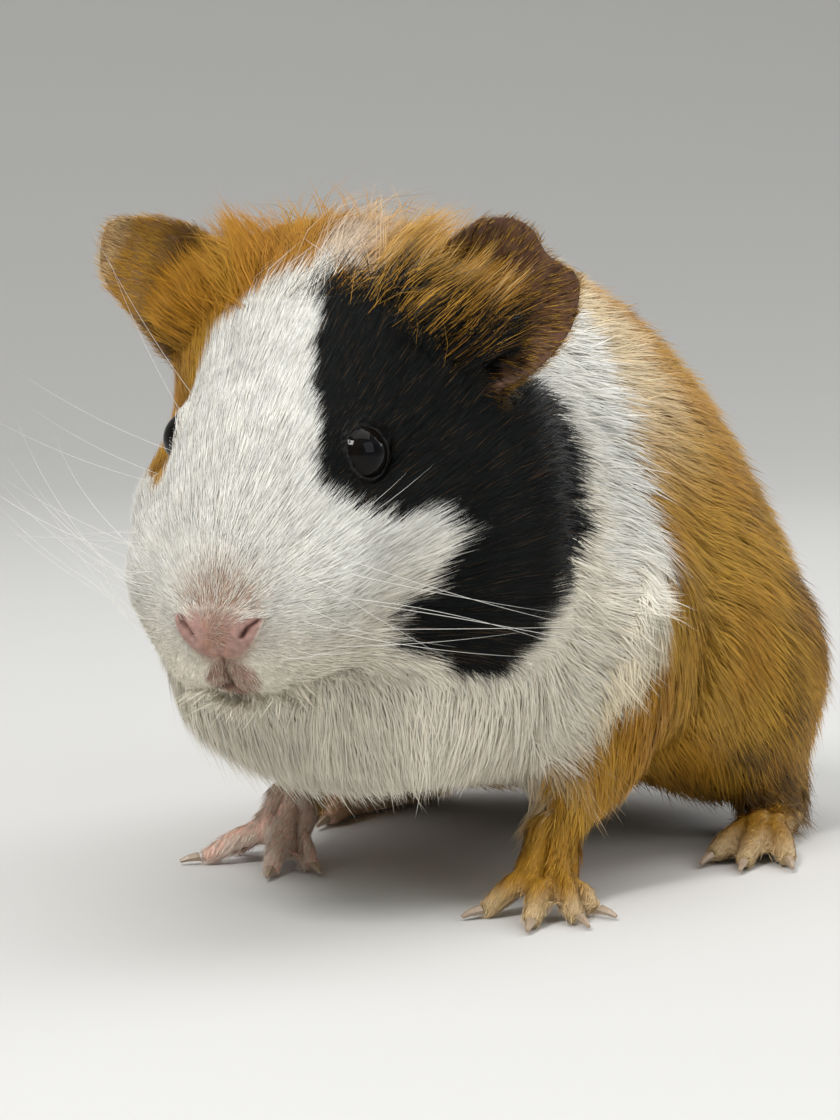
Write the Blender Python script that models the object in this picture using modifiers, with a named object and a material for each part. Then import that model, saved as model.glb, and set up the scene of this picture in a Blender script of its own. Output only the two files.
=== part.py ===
"""A standing guinea pig at life size, as a still model.

Frame: the animal faces -Y, its left side is +X, and +Z is up. The origin is on
the ground, under the middle of the animal's box. Sizes below are in millimetres
of the living animal with its coat; MM turns them into Blender's metres.
"""

import math

import bmesh
import bpy
from mathutils import Euler, Matrix, Vector

MM = 0.001

# ---- driving dimensions, in millimetres -------------------------------------------
GAP = 0.4  # air between two neighbouring solids
BOX_GAP = 1.5 * GAP * math.sqrt(3)  # boxes grow along their corners' diagonals
EYE_LINE = (0.5, -66.0, 78.0)  # the head frame's origin, between the eyes
HEAD_PITCH = 28.0  # degrees that the muzzle points below level
HEAD_ROLL = 4.0  # degrees that the crown leans to the animal's left
HEAD_YAW = 7.0  # degrees that the nose turns to the animal's left
EYE_RADIUS = 5.2
EYE_CENTRE = (13.6, -1.2, 0.6)  # of the left eyeball, in the head's frame

VOXEL = 1.6  # remesh size where the masses grow together
BLEND_STEPS = 12  # smoothing passes over the joined masses
WHOLE_TRIANGLES = 9000  # of the body before it is parted
ZONE_TRIANGLES = 400  # of the surface where a leg parts from the trunk
PART_VOXEL = 1.0  # remesh size that rounds a part's cut edges
PART_TRIANGLES = {"head": 1450, "neck": 800, "trunk": 1700, "foreleg": 400, "hindleg": 430}
FOOT_TRIANGLES = 280
SOLE_PRESS = 0.8  # how far a paw is lowered into the ground
SOLE_FLAT = 0.4  # whatever of a paw is lower than this is flattened onto the ground
EAR_TRIANGLES = 300

HEAD_TURN = Euler([math.radians(turn) for turn in (HEAD_PITCH, HEAD_ROLL, HEAD_YAW)])
HEAD_FRAME = Matrix.Translation(EYE_LINE) @ HEAD_TURN.to_matrix().to_4x4()

# Cross-sections: y along the body, top, bottom, half width, height of the widest
# place, and how boxy the upper half is (2 is an ellipse, less is more pointed).
TRUNK_SECTIONS = (
    (-66, 58, 33, 17, 44, 2.0),
    (-60, 84, 24, 31, 46, 2.0),
    (-46, 108, 18, 39, 46, 2.0),
    (-28, 115, 15, 41, 47, 2.0),
    (-8, 116, 13, 41, 46, 2.0),
    (16, 114, 11, 44, 42, 2.0),
    (38, 108, 8, 47, 37, 1.95),
    (58, 94, 5, 47, 32, 1.85),
    (75, 76, 5, 40, 30, 1.85),
    (88, 57, 9, 27, 29, 2.0),
    (93, 44, 17, 14, 29, 2.0),
)
# The same in the head's own frame, whose origin is midway between the eyes.
HEAD_SECTIONS = (
    (-32.5, -10, -26, 8, -18, 2.2),
    (-29, -4, -29, 14, -18, 2.2),
    (-22, 3, -31, 19.5, -18, 2.0),
    (-12, 10, -32, 24, -17, 1.8),
    (0, 16, -32, 26.6, -17, 1.5),
    (14, 20, -31, 30, -14, 2.1),
    (27, 23, -29, 31, -9, 2.4),
    (40, 23.5, -24, 31, -5, 2.4),
    (52, 15, -16, 26, -4, 2.2),
)
BELLY_POWER = 2.8  # boxiness of every section's lower half

SIDES = {"left": 1, "right": -1}
# Each foreleg as (point, radius of its coat): shoulder, elbow, wrist.
FORELEGS = {
    "left": (((28, -16, 52), 17), ((34, -4, 26), 14), ((30, -24, 16), 6.8)),
    "right": (((-28, -10, 52), 17), ((-33, 8, 26), 14), ((-29, -8, 15), 6.6)),
}
# Toes of each forefoot, inner to outer: degrees outwards from straight ahead, length.
FORETOES = {
    "left": ((-31, 9.8), (16, 13.0), (48, 10.2), (80, 6.8)),
    "right": ((-52, 9.5), (-20, 12.0), (50, 12.5), (92, 9.0)),
}
# Each hind leg: hip, knee and heel.
HINDLEGS = {
    "left": (((27, 50, 38), 21), ((37, 32, 28), 16), ((38, 60, 11), 7.5)),
    "right": (((-27, 50, 38), 21), ((-37, 32, 28), 16), ((-38, 60, 11), 7.5)),
}
HINDTOES = ((-4, 11.5), (12, 14.0), (30, 11.5))
HINDFOOT_LENGTH = 30.0  # heel to the roots of the toes
FORECLAW_LENGTH = 4.0
HINDCLAW_LENGTH = 4.5

# Ears, in millimetres outwards and up from the root's middle: the free edge from the
# root's top round to its bottom, and how far back and how deeply each flap is cupped.
EARS = {
    "left": {
        "edge": (
            (-6, 4), (0, 12.5), (6, 16.5), (12, 15), (14.5, 10), (19.5, 7), (19, -1), (13, -9), (4, -13),
        ),
        "sweep": 0.30,
        "cup": 4.2,
    },
    "right": {
        "edge": (
            (-6, 4), (1, 11), (8, 13.5), (16, 14), (22.5, 13), (23.5, 4), (16.5, -3), (11, -8), (5, -14),
        ),
        "sweep": 0.04,
        "cup": 5.0,
    },
}
EAR_ROOT = (21.5, 25.0, 11.5)  # in the head's frame
EAR_THICK = 1.5
SHARP_EDGE = 42.0  # degrees between faces where the shading breaks

PARTS = None
HELPERS = None


# ---- small tools ------------------------------------------------------------------
def start_scene():
    """Empties the scene and makes the two collections."""
    global PARTS, HELPERS
    for obj in list(bpy.data.objects):
        bpy.data.objects.remove(obj, do_unlink=True)
    PARTS = bpy.data.collections.new("guinea_pig")
    HELPERS = bpy.data.collections.new("helpers")
    for collection in (PARTS, HELPERS):
        bpy.context.scene.collection.children.link(collection)


def add_object(name, mesh, collection=None):
    obj = bpy.data.objects.new(name, mesh)
    (collection or HELPERS).objects.link(obj)
    if obj.name in HELPERS.objects:
        obj.hide_render = True
        obj.display_type = "WIRE"
    return obj


def from_bmesh(name, bm, matrix=None):
    """A helper object from a bmesh in millimetres."""
    bm.transform(Matrix.Scale(MM, 4) @ (matrix or Matrix.Identity(4)))
    bmesh.ops.recalc_face_normals(bm, faces=bm.faces)
    mesh = bpy.data.meshes.new(name)
    bm.to_mesh(mesh)
    bm.free()
    return add_object(name, mesh)


def applied(obj):
    """Turns an object's modifiers into plain mesh."""
    bpy.context.view_layer.update()
    graph = bpy.context.evaluated_depsgraph_get()
    mesh = bpy.data.meshes.new_from_object(obj.evaluated_get(graph))
    mesh.name = obj.name
    if obj.type == "MESH":
        obj.modifiers.clear()
        obj.data = mesh
        return obj
    made = add_object(obj.name + "_mesh", mesh)
    made.matrix_world = obj.matrix_world
    bm = bmesh.new()
    bm.from_mesh(mesh)
    bmesh.ops.remove_doubles(bm, verts=bm.verts, dist=0.01 * MM)
    bm.to_mesh(mesh)
    bm.free()
    bpy.data.objects.remove(obj, do_unlink=True)
    return made


def boolean(obj, other, operation, solver="EXACT"):
    """Cuts, joins or intersects obj with other, and keeps the result as mesh."""
    modifier = obj.modifiers.new(operation.lower(), "BOOLEAN")
    modifier.operation = operation
    modifier.solver = solver
    modifier.object = other
    return applied(obj)


def copy_of(obj, name):
    return add_object(name, obj.data.copy())


def swollen(obj, by=GAP):
    """A copy of obj grown outwards, to leave air round it."""
    grown = copy_of(obj, obj.name + "_swollen")
    modifier = grown.modifiers.new("swell", "DISPLACE")
    modifier.mid_level = 0.0
    modifier.strength = by * MM
    return applied(grown)


def clear_of(obj, *others):
    """Trims obj back until it stands GAP clear of the others."""
    for other in others:
        cutter = swollen(other)
        boolean(obj, cutter, "DIFFERENCE", "MANIFOLD")
        bpy.data.objects.remove(cutter, do_unlink=True)
    return obj


def ball(name, centre, radii, turn=(0, 0, 0), frame=None, detail=4):
    """An ellipsoid, turned by degrees about its own centre."""
    bm = bmesh.new()
    bmesh.ops.create_icosphere(bm, subdivisions=detail, radius=1.0)
    place = (
        Matrix.Translation(Vector(centre))
        @ Euler([math.radians(t) for t in turn]).to_matrix().to_4x4()
        @ Matrix.Diagonal((*radii, 1.0))
    )
    return from_bmesh(name, bm, (frame or Matrix.Identity(4)) @ place)


def block(name, low, high, frame=None):
    """A box between two corners, used to cut along planes."""
    bm = bmesh.new()
    bmesh.ops.create_cube(bm, size=1.0)
    low, high = Vector(low), Vector(high)
    place = Matrix.Translation((low + high) / 2) @ Matrix.Diagonal((*(high - low), 1.0))
    return from_bmesh(name, bm, (frame or Matrix.Identity(4)) @ place)


def tube(name, joints, frame=None, sides=4, steps=6):
    """A tapering limb through (point, radius) joints."""
    curve = bpy.data.curves.new(name, "CURVE")
    curve.dimensions = "3D"
    curve.bevel_depth = MM
    curve.bevel_resolution = sides
    curve.resolution_u = steps
    curve.use_fill_caps = True
    spline = curve.splines.new("NURBS")
    spline.points.add(len(joints) - 1)
    spline.use_endpoint_u = True
    spline.order_u = min(3, len(joints))
    for point, (place, radius) in zip(spline.points, joints):
        world = (frame or Matrix.Identity(4)) @ Vector(place)
        point.co = (*(world * MM), 1.0)
        point.radius = radius
    obj = add_object(name, curve)
    return applied(obj)


def superellipse(turn, half_width, up, down, widest, power):
    """A point of a section, at an angle round it from the animal's left."""
    c, s = math.cos(turn), math.sin(turn)
    n = power if s > 0 else BELLY_POWER
    x = half_width * math.copysign(abs(c) ** (2 / n), c)
    reach = up - widest if s > 0 else widest - down
    z = widest + reach * math.copysign(abs(s) ** (2 / n), s)
    return x, z


def loft(name, sections, frame=None, around=16):
    """A soft body through cross-sections: a coarse cage with subdivision."""
    bm = bmesh.new()
    rings = []
    for y, up, down, half_width, widest, power in sections:
        ring = []
        for step in range(around):
            turn = 2 * math.pi * step / around
            x, z = superellipse(turn, half_width, up, down, widest, power)
            ring.append(bm.verts.new((x, y, z)))
        rings.append(ring)
    for near, far in zip(rings, rings[1:]):
        for i in range(around):
            j = (i + 1) % around
            bm.faces.new((near[i], near[j], far[j], far[i]))
    for ring in (rings[0], rings[-1]):
        bmesh.ops.triangle_fill(
            bm, edges=[bm.edges.get((ring[i], ring[(i + 1) % around])) for i in range(around)]
        )
    obj = from_bmesh(name, bm, frame)
    modifier = obj.modifiers.new("soften", "SUBSURF")
    modifier.levels = modifier.render_levels = 2
    return applied(obj)


def on_ground(obj, press=0.0):
    """Lowers obj by press and flattens its lowest part onto the ground."""
    for vertex in obj.data.vertices:
        height = vertex.co.z - press * MM
        vertex.co.z = height if height > SOLE_FLAT * MM else 0.0


def grown_together(name, pieces, voxel, passes, triangles, press=None):
    """Joins overlapping masses into one smooth closed body, pressed on the ground if asked."""
    bm = bmesh.new()
    for piece in pieces:
        bm.from_mesh(piece.data)
        bpy.data.objects.remove(piece, do_unlink=True)
    mesh = bpy.data.meshes.new(name)
    bm.to_mesh(mesh)
    bm.free()
    obj = add_object(name, mesh)
    remesh = obj.modifiers.new("join", "REMESH")
    remesh.mode = "VOXEL"
    remesh.voxel_size = voxel * MM
    smooth = obj.modifiers.new("blend", "SMOOTH")
    smooth.factor = 0.5
    smooth.iterations = passes
    applied(obj)
    if press is not None:
        on_ground(obj, press)
    obj.data.calc_loop_triangles()
    thin = obj.modifiers.new("thin", "DECIMATE")
    thin.ratio = min(1.0, triangles / len(obj.data.loop_triangles))
    return applied(obj)


def finish_part(obj, name, finish):
    """Puts a solid among the parts, with its own material."""
    colour, roughness = finish
    obj.name = obj.data.name = name
    HELPERS.objects.unlink(obj)
    PARTS.objects.link(obj)
    obj.hide_render = False
    obj.display_type = "TEXTURED"
    material = bpy.data.materials.new(name)
    material.use_nodes = True
    shader = material.node_tree.nodes["Principled BSDF"]
    shader.inputs["Base Color"].default_value = (*colour, 1.0)
    shader.inputs["Roughness"].default_value = roughness
    shader.inputs["Metallic"].default_value = 0.0
    obj.data.materials.clear()
    obj.data.materials.append(material)
    obj.data.shade_smooth()
    obj.data.set_sharp_from_angle(angle=math.radians(SHARP_EDGE))
    return obj


WHITE_COAT = ((0.80, 0.77, 0.70), 0.75)
GINGER_COAT = ((0.55, 0.29, 0.09), 0.75)
PINK_SKIN = ((0.72, 0.47, 0.40), 0.55)
EAR_SKIN = ((0.35, 0.18, 0.12), 0.6)
DARK_EYE = ((0.01, 0.01, 0.012), 0.08)
HORN_CLAW = ((0.62, 0.52, 0.40), 0.4)


# ---- masses of the body -----------------------------------------------------------
def head_masses():
    """The head's loft with cheeks, whisker pads, lips, chin and nose pad on it."""
    pieces = [loft("head_form", HEAD_SECTIONS, HEAD_FRAME)]
    for side in SIDES.values():
        pieces.append(ball("cheek", (side * 16, 12, -15), (14, 20, 15), frame=HEAD_FRAME))
        pieces.append(ball("whisker_pad", (side * 11, -18, -14), (10.5, 11, 11), frame=HEAD_FRAME))
        pieces.append(ball("lip", (side * 4.2, -28, -23), (6, 5.5, 5.5), frame=HEAD_FRAME))
    pieces.append(ball("nose_pad", (0, -30.5, -14.5), (8, 4.5, 5), frame=HEAD_FRAME))
    pieces.append(ball("chin", (0, -20, -29), (9, 8, 6), frame=HEAD_FRAME))
    return pieces


def body_masses():
    """Trunk, chest ruff, shoulders, haunches and the upper legs."""
    pieces = [loft("trunk_form", TRUNK_SECTIONS)]
    pieces.append(ball("ruff", (0, -46, 41), (37, 19, 24)))
    for name, side in SIDES.items():
        pieces.append(ball("shoulder", (side * 23, -14, 52), (17, 22, 26)))
        pieces.append(ball("haunch", (side * 28, 50, 31), (21.5, 32, 27)))
        pieces.append(tube("foreleg_form", FORELEGS[name]))
        pieces.append(tube("hindleg_form", HINDLEGS[name]))
    return pieces


def facing(point, degrees_out, side):
    """A frame on the ground under a point, whose -Y looks ahead, turned outwards."""
    x, y, _ = point
    return Matrix.Translation((x, y, 0)) @ Matrix.Rotation(math.radians(side * degrees_out), 4, "Z")


def finish_foot(name, pieces):
    """Grows a paw together with its sole flat on the ground."""
    made = grown_together(name, pieces, 0.6, 3, FOOT_TRIANGLES, press=SOLE_PRESS)
    on_ground(made)
    return made


def forefoot(name, side):
    """A forepaw: a steep palm under the wrist and four long spread toes."""
    wrist = Vector(FORELEGS[name][2][0])
    palm = Vector((wrist.x + side * 0.5, wrist.y - 5.5, 8.0))
    pieces = [
        ball("palm", palm, (5.6, 6.2, 4.4), turn=(38, 0, 0), detail=3),
        tube("wrist", ((wrist + Vector((0, 1, 3)), 5.6), (palm, 4.6))),
    ]
    claws = []
    for degrees_out, length in FORETOES[name]:
        toe = facing(palm, degrees_out, side)
        joints = (
            ((0, 1.0, 7.4), 2.7),
            ((0, -3.0 - length * 0.35, 6.2), 2.3),
            ((0, -3.0 - length * 0.75, 3.0), 2.0),
            ((0, -3.0 - length, 1.7), 1.7),
        )
        pieces.append(tube("toe", joints, toe))
        claws.append(toe @ Matrix.Translation((0, -3.0 - length, 1.4)))
    return finish_foot("forefoot_" + name, pieces), claws


def hindfoot(name, side):
    """A hind paw: a long flat sole from the heel and three toes."""
    heel = Vector(HINDLEGS[name][2][0])
    foot = facing(heel, HINDTOES[1][0], side)
    pieces = [
        tube("sole", (((0, 1, 5.0), 5.2), ((0, -HINDFOOT_LENGTH, 4.0), 5.0)), foot),
        tube("ankle", (((0, -1, 14.0), 6.0), ((0, 0, 5.0), 5.0)), foot),
    ]
    claws = []
    root = foot @ Vector((0, -HINDFOOT_LENGTH, 0))
    for degrees_out, length in HINDTOES:
        toe = facing(root, degrees_out, side)
        across = side * (degrees_out - HINDTOES[1][0]) * 0.22
        joints = (
            ((across, 2.0, 4.4), 2.9),
            ((across, -length * 0.5, 4.2), 2.5),
            ((across, -length, 2.0), 1.9),
        )
        pieces.append(tube("toe", joints, toe))
        claws.append(toe @ Matrix.Translation((across, -length, 1.6)))
    return finish_foot("hindfoot_" + name, pieces), claws


def claw(name, frame, length):
    """A short curved cone at a toe's tip, just clear of the ground."""
    joints = (((0, 1.0, 0.0), 1.0), ((0, -length * 0.5, 0.1), 0.8), ((0, -length, -0.8), 0.35))
    return tube(name, joints, frame, sides=1, steps=2)


def along_edge(points, share):
    """A smooth point on the free edge of an ear; share runs from 0 to 1."""
    place = share * (len(points) - 1)
    i = min(int(place), len(points) - 2)
    t = place - i
    near, far = Vector(points[i]), Vector(points[i + 1])
    before = Vector(points[max(i - 1, 0)])
    after = Vector(points[min(i + 2, len(points) - 1)])
    return 0.5 * (
        2 * near
        + (far - before) * t
        + (2 * before - 5 * near + 4 * far - after) * t**2
        + (3 * near - before - 3 * far + after) * t**3
    )


def ear_point(ear, share, out):
    """A point of the ear's sheet: share goes along the edge, out from root to rim."""
    edge = along_edge(ear["edge"], share)
    root = Vector(ear["edge"][0]).lerp(Vector(ear["edge"][-1]), share)
    flat = root.lerp(edge, out)
    hollow = math.sin(math.pi * min(1.0, 0.15 + 0.85 * share)) * math.sin(math.pi * (0.2 + 0.7 * out))
    curl = 2.6 * out**2 * max(0.0, 1 - 2.2 * share)
    buried = 4.0 * (1 - out) * (1 - share)
    back = ear["sweep"] * flat.x + ear["cup"] * hollow - curl + buried
    return Vector((flat.x, back, flat.y))


def ear_sheet(name, side):
    """One ear: a cupped flap that stands out from the head."""
    ear = EARS[name]
    edge_steps, out_steps = 18, 5
    x, y, z = EAR_ROOT
    place = Matrix.Translation(HEAD_FRAME @ Vector((side * x, y, z))) @ Matrix.Diagonal((side, 1, 1, 1))
    bm = bmesh.new()
    grid = []
    for i in range(edge_steps + 1):
        row = [ear_point(ear, i / edge_steps, j / out_steps) for j in range(out_steps + 1)]
        row[0] += Vector((-3.0, 0, 0))
        grid.append([bm.verts.new(p) for p in row])
    for near, far in zip(grid, grid[1:]):
        for j in range(out_steps):
            bm.faces.new((near[j], near[j + 1], far[j + 1], far[j]))
    bmesh.ops.remove_doubles(bm, verts=bm.verts, dist=0.05)
    obj = from_bmesh("ear_sheet", bm, place)
    shell = obj.modifiers.new("thickness", "SOLIDIFY")
    shell.thickness = EAR_THICK * MM
    shell.offset = 0.0
    return grown_together("ear_" + name, [applied(obj)], 0.5, 2, EAR_TRIANGLES)


# ---- the parts --------------------------------------------------------------------
def take(whole, region, name, gap=GAP):
    """Parts off what lies in region, and trims the rest to stand clear of it."""
    piece = copy_of(whole, name)
    boolean(piece, region, "INTERSECT")
    cutter = swollen(region, gap)
    boolean(whole, cutter, "DIFFERENCE")
    for helper in (cutter, region):
        bpy.data.objects.remove(helper, do_unlink=True)
    return piece


def leg_zone(centre, radii, lower_joints):
    """The region of one leg: a rounded mass over its upper part and a tube below."""
    pieces = [
        ball("zone_upper", centre, radii, detail=3),
        tube("zone_lower", [(place, radius + 2.0) for place, radius in lower_joints]),
    ]
    return grown_together("leg_zone", pieces, 2.5, 8, ZONE_TRIANGLES)


def centre_parts():
    """Moves the parts together until the middle of their box is over the origin."""
    points = [obj.matrix_world @ v.co for obj in PARTS.objects for v in obj.data.vertices]
    shift = Vector()
    for axis in (0, 1):
        places = [p[axis] for p in points]
        shift[axis] = -(min(places) + max(places)) / 2
    for obj in PARTS.objects:
        obj.data.transform(Matrix.Translation(shift))


def parted_flesh():
    """The whole body, parted into legs, head, neck and trunk."""
    whole = grown_together(
        "whole", head_masses() + body_masses(), VOXEL, BLEND_STEPS, WHOLE_TRIANGLES
    )
    flesh = {}
    for name, side in SIDES.items():
        elbow_y = FORELEGS[name][1][0][1]
        zone = leg_zone((side * 42, elbow_y - 2, 36), (20, 20, 25), FORELEGS[name][1:])
        flesh["foreleg_" + name] = take(whole, zone, "foreleg_" + name)
        zone = leg_zone((side * 46, 46, 28), (24, 33, 29), HINDLEGS[name][1:])
        flesh["hindleg_" + name] = take(whole, zone, "hindleg_" + name)

    wide = 200
    nape = Matrix.Translation((0, -36, 80)) @ Matrix.Rotation(math.radians(-5), 4, "X")
    throat = Matrix.Translation((0, -50, 45)) @ Matrix.Rotation(math.radians(10), 4, "X")
    head_zone = block("head_zone", (-wide, -wide, -wide), (wide, 0, wide), nape)
    above_throat = block("above_throat", (-wide, -wide, 0), (wide, wide, wide), throat)
    boolean(head_zone, above_throat, "INTERSECT")
    bpy.data.objects.remove(above_throat, do_unlink=True)
    flesh["head"] = take(whole, head_zone, "head", BOX_GAP)
    neck_zone = block("neck_zone", (-wide, -wide, -wide), (wide, -18, wide))
    flesh["neck"] = take(whole, neck_zone, "neck", BOX_GAP)
    flesh["trunk"] = whole
    for name, solid in flesh.items():
        triangles = PART_TRIANGLES[name.split("_")[0]]
        flesh[name] = grown_together(name, [solid], PART_VOXEL, 0, triangles)
    return flesh


def add_claws(solids, label, frames, length, foot):
    """Claws numbered from the inner toe, each trimmed to stand off its toe."""
    for number, frame in enumerate(frames, 1):
        name = f"{label}_{number}"
        solids[name] = (clear_of(claw(name, frame, length), foot), HORN_CLAW)


def build():
    start_scene()
    flesh = parted_flesh()
    solids = {}
    for name, side in SIDES.items():
        centre = (side * EYE_CENTRE[0], EYE_CENTRE[1], EYE_CENTRE[2])
        eye = ball("eye_" + name, centre, (EYE_RADIUS,) * 3, frame=HEAD_FRAME, detail=3)
        socket = ball("socket", centre, (EYE_RADIUS + GAP,) * 3, frame=HEAD_FRAME, detail=2)
        clear_of(flesh["head"], socket)
        bpy.data.objects.remove(socket, do_unlink=True)
        solids["eye_" + name] = (eye, DARK_EYE)
        ear = clear_of(ear_sheet(name, side), flesh["head"])
        solids["ear_" + name] = (ear, EAR_SKIN)

        foot, claws = forefoot(name, side)
        for near in ("foreleg_" + name, "neck", "trunk"):
            clear_of(flesh[near], foot)
        solids["forefoot_" + name] = (foot, PINK_SKIN)
        add_claws(solids, "claw_fore_" + name, claws, FORECLAW_LENGTH, foot)

        foot, claws = hindfoot(name, side)
        for near in ("hindleg_" + name, "trunk"):
            clear_of(flesh[near], foot)
        solids["hindfoot_" + name] = (foot, PINK_SKIN)
        add_claws(solids, "claw_hind_" + name, claws, HINDCLAW_LENGTH, foot)

    for name, solid in flesh.items():
        white = name in ("head", "neck")
        solids[name] = (solid, WHITE_COAT if white else GINGER_COAT)
    for name, (solid, finish) in solids.items():
        finish_part(solid, name, finish)
    centre_parts()


build()
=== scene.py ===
import math
import bmesh
import bpy
import numpy as np
from mathutils import Euler, Matrix, Vector
from mathutils.bvhtree import BVHTree
from mathutils.kdtree import KDTree


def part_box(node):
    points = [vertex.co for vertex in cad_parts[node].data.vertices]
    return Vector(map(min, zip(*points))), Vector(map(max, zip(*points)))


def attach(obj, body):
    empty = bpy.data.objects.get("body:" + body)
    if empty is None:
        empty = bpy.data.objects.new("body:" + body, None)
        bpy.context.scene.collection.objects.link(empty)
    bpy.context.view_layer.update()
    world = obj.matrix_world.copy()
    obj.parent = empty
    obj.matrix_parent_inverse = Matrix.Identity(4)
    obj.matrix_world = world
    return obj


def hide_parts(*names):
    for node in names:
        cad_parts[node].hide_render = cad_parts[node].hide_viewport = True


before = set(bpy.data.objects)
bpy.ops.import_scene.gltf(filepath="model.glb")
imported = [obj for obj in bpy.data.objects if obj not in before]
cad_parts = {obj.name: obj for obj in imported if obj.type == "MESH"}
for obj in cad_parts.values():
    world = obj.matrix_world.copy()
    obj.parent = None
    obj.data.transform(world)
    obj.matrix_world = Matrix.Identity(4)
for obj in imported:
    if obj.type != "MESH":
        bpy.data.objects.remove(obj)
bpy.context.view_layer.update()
mm = 0.001
sides = {"left": 1, "right": -1}

# where the head is
head = {"pitch": 28.0, "roll": 4.0, "yaw": 7.0, "eyesAhead": 1.2, "eyesUp": 0.6}

eyeCentre = {}
for side in sides:
    low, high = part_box("eye_" + side)
    eyeCentre[side] = (low + high) / 2
eyeRadius = (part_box("eye_left")[1].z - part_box("eye_left")[0].z) / 2
headTurn = Euler([math.radians(head[turn]) for turn in ("pitch", "roll", "yaw")]).to_matrix()
headOrigin = (eyeCentre["left"] + eyeCentre["right"]) / 2
headOrigin = headOrigin - headTurn @ Vector((0, -head["eyesAhead"] * mm, head["eyesUp"] * mm))
headTurnRows = np.array(headTurn)


def inHead(points):  # metres in the frame to millimetres from between the eyes, turned with the head
    return (points - np.array(headOrigin)) @ headTurnRows / mm


def fromHead(points):
    return np.atleast_2d(points) * mm @ headTurnRows.T + np.array(headOrigin)


def ramp(low, high, x):  # 0 below low, 1 above high, smooth between
    t = np.clip((x - low) / (high - low), 0.0, 1.0)
    return t * t * (3 - 2 * t)


def eyeDistance(points, side):
    return np.linalg.norm(points - np.array(eyeCentre[side]), axis=1)


def unit(vectors):
    return vectors / np.maximum(np.linalg.norm(vectors, axis=-1, keepdims=True), 1e-12)


def meshOf(name, points, faces, size):  # faces all have the same number of corners
    mesh = bpy.data.meshes.new(name)
    mesh.vertices.add(len(points))
    mesh.vertices.foreach_set("co", np.ascontiguousarray(points, np.float32).ravel())
    mesh.loops.add(len(faces) * size)
    mesh.loops.foreach_set("vertex_index", np.ascontiguousarray(faces, np.int32).ravel())
    mesh.polygons.add(len(faces))
    mesh.polygons.foreach_set("loop_start", np.arange(0, len(faces) * size, size, dtype=np.int32))
    mesh.update(calc_edges=True)
    mesh.polygons.foreach_set("use_smooth", np.ones(len(faces), bool))
    return mesh


def linked(name, data):
    made = bpy.data.objects.new(name, data)
    bpy.context.scene.collection.objects.link(made)
    return made


def meshOfBm(name, bm):
    mesh = bpy.data.meshes.new(name)
    bm.to_mesh(mesh)
    bm.free()
    return mesh


def finished(holder):  # the mesh that a holder's modifiers make, and the holder removed
    bpy.context.view_layer.update()
    graph = bpy.context.evaluated_depsgraph_get()
    made = bpy.data.meshes.new_from_object(holder.evaluated_get(graph))
    bpy.data.objects.remove(holder, do_unlink=True)
    return made


def addPiece(name, mesh, material, replaced=()):
    piece = linked(name, mesh)
    mesh.materials.clear()
    mesh.materials.append(material)
    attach(piece, "root")
    if replaced:
        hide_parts(*replaced)
    return piece


def pointsOf(mesh):
    flat = np.empty(len(mesh.vertices) * 3, np.float32)
    mesh.vertices.foreach_get("co", flat)
    return flat.reshape(-1, 3).astype(float)


def edgesOf(mesh):
    flat = np.empty(len(mesh.edges) * 2, np.int32)
    mesh.edges.foreach_get("vertices", flat)
    return flat.reshape(-1, 2)


def averaged(values, edges):  # each vertex's mean over its neighbours
    n = len(values)
    near, far = edges[:, 0], edges[:, 1]
    count = np.bincount(near, minlength=n) + np.bincount(far, minlength=n)
    total = np.empty_like(values)
    for column in range(values.shape[1]):
        forwards, backwards = values[far, column], values[near, column]
        total[:, column] = np.bincount(near, forwards, n) + np.bincount(far, backwards, n)
    return total / np.maximum(count, 1)[:, None]


def relaxed(values, edges, passes, weight=1.0):
    weight = np.broadcast_to(weight, len(values))[:, None] * 0.5
    for _ in range(passes):
        values = values + weight * (averaged(values, edges) - values)
    return values


def normalsOf(points, triangles):
    a, b, c = (points[triangles[:, i]] for i in range(3))
    flat = np.cross(b - a, c - a)
    out = np.zeros_like(points)
    for column in range(3):
        for corner in range(3):
            out[:, column] += np.bincount(triangles[:, corner], flat[:, column], len(points))
    return unit(out)


def setColours(mesh, name, colours):
    layer = mesh.color_attributes.new(name, "FLOAT_COLOR", "POINT")
    rgba = np.ones((len(colours), 4), np.float32)
    rgba[:, :3] = colours
    layer.data.foreach_set("color", rgba.ravel())


noiseTable = np.random.default_rng(3).random((32, 32, 32))  # the same every run


def cloud(points, size, shift=0.0):  # smooth noise from -1 to 1, features about size across
    p = points / size + shift
    cell = np.floor(p).astype(int)
    t = p - cell
    t = t * t * (3 - 2 * t)
    total = 0.0
    for dx in (0, 1):
        for dy in (0, 1):
            for dz in (0, 1):
                i, j, k = ((cell[:, a] + d) % 32 for a, d in enumerate((dx, dy, dz)))
                w = (t[:, 0] if dx else 1 - t[:, 0]) * (t[:, 1] if dy else 1 - t[:, 1])
                total = total + noiseTable[i, j, k] * w * (t[:, 2] if dz else 1 - t[:, 2])
    return total * 2 - 1


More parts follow.
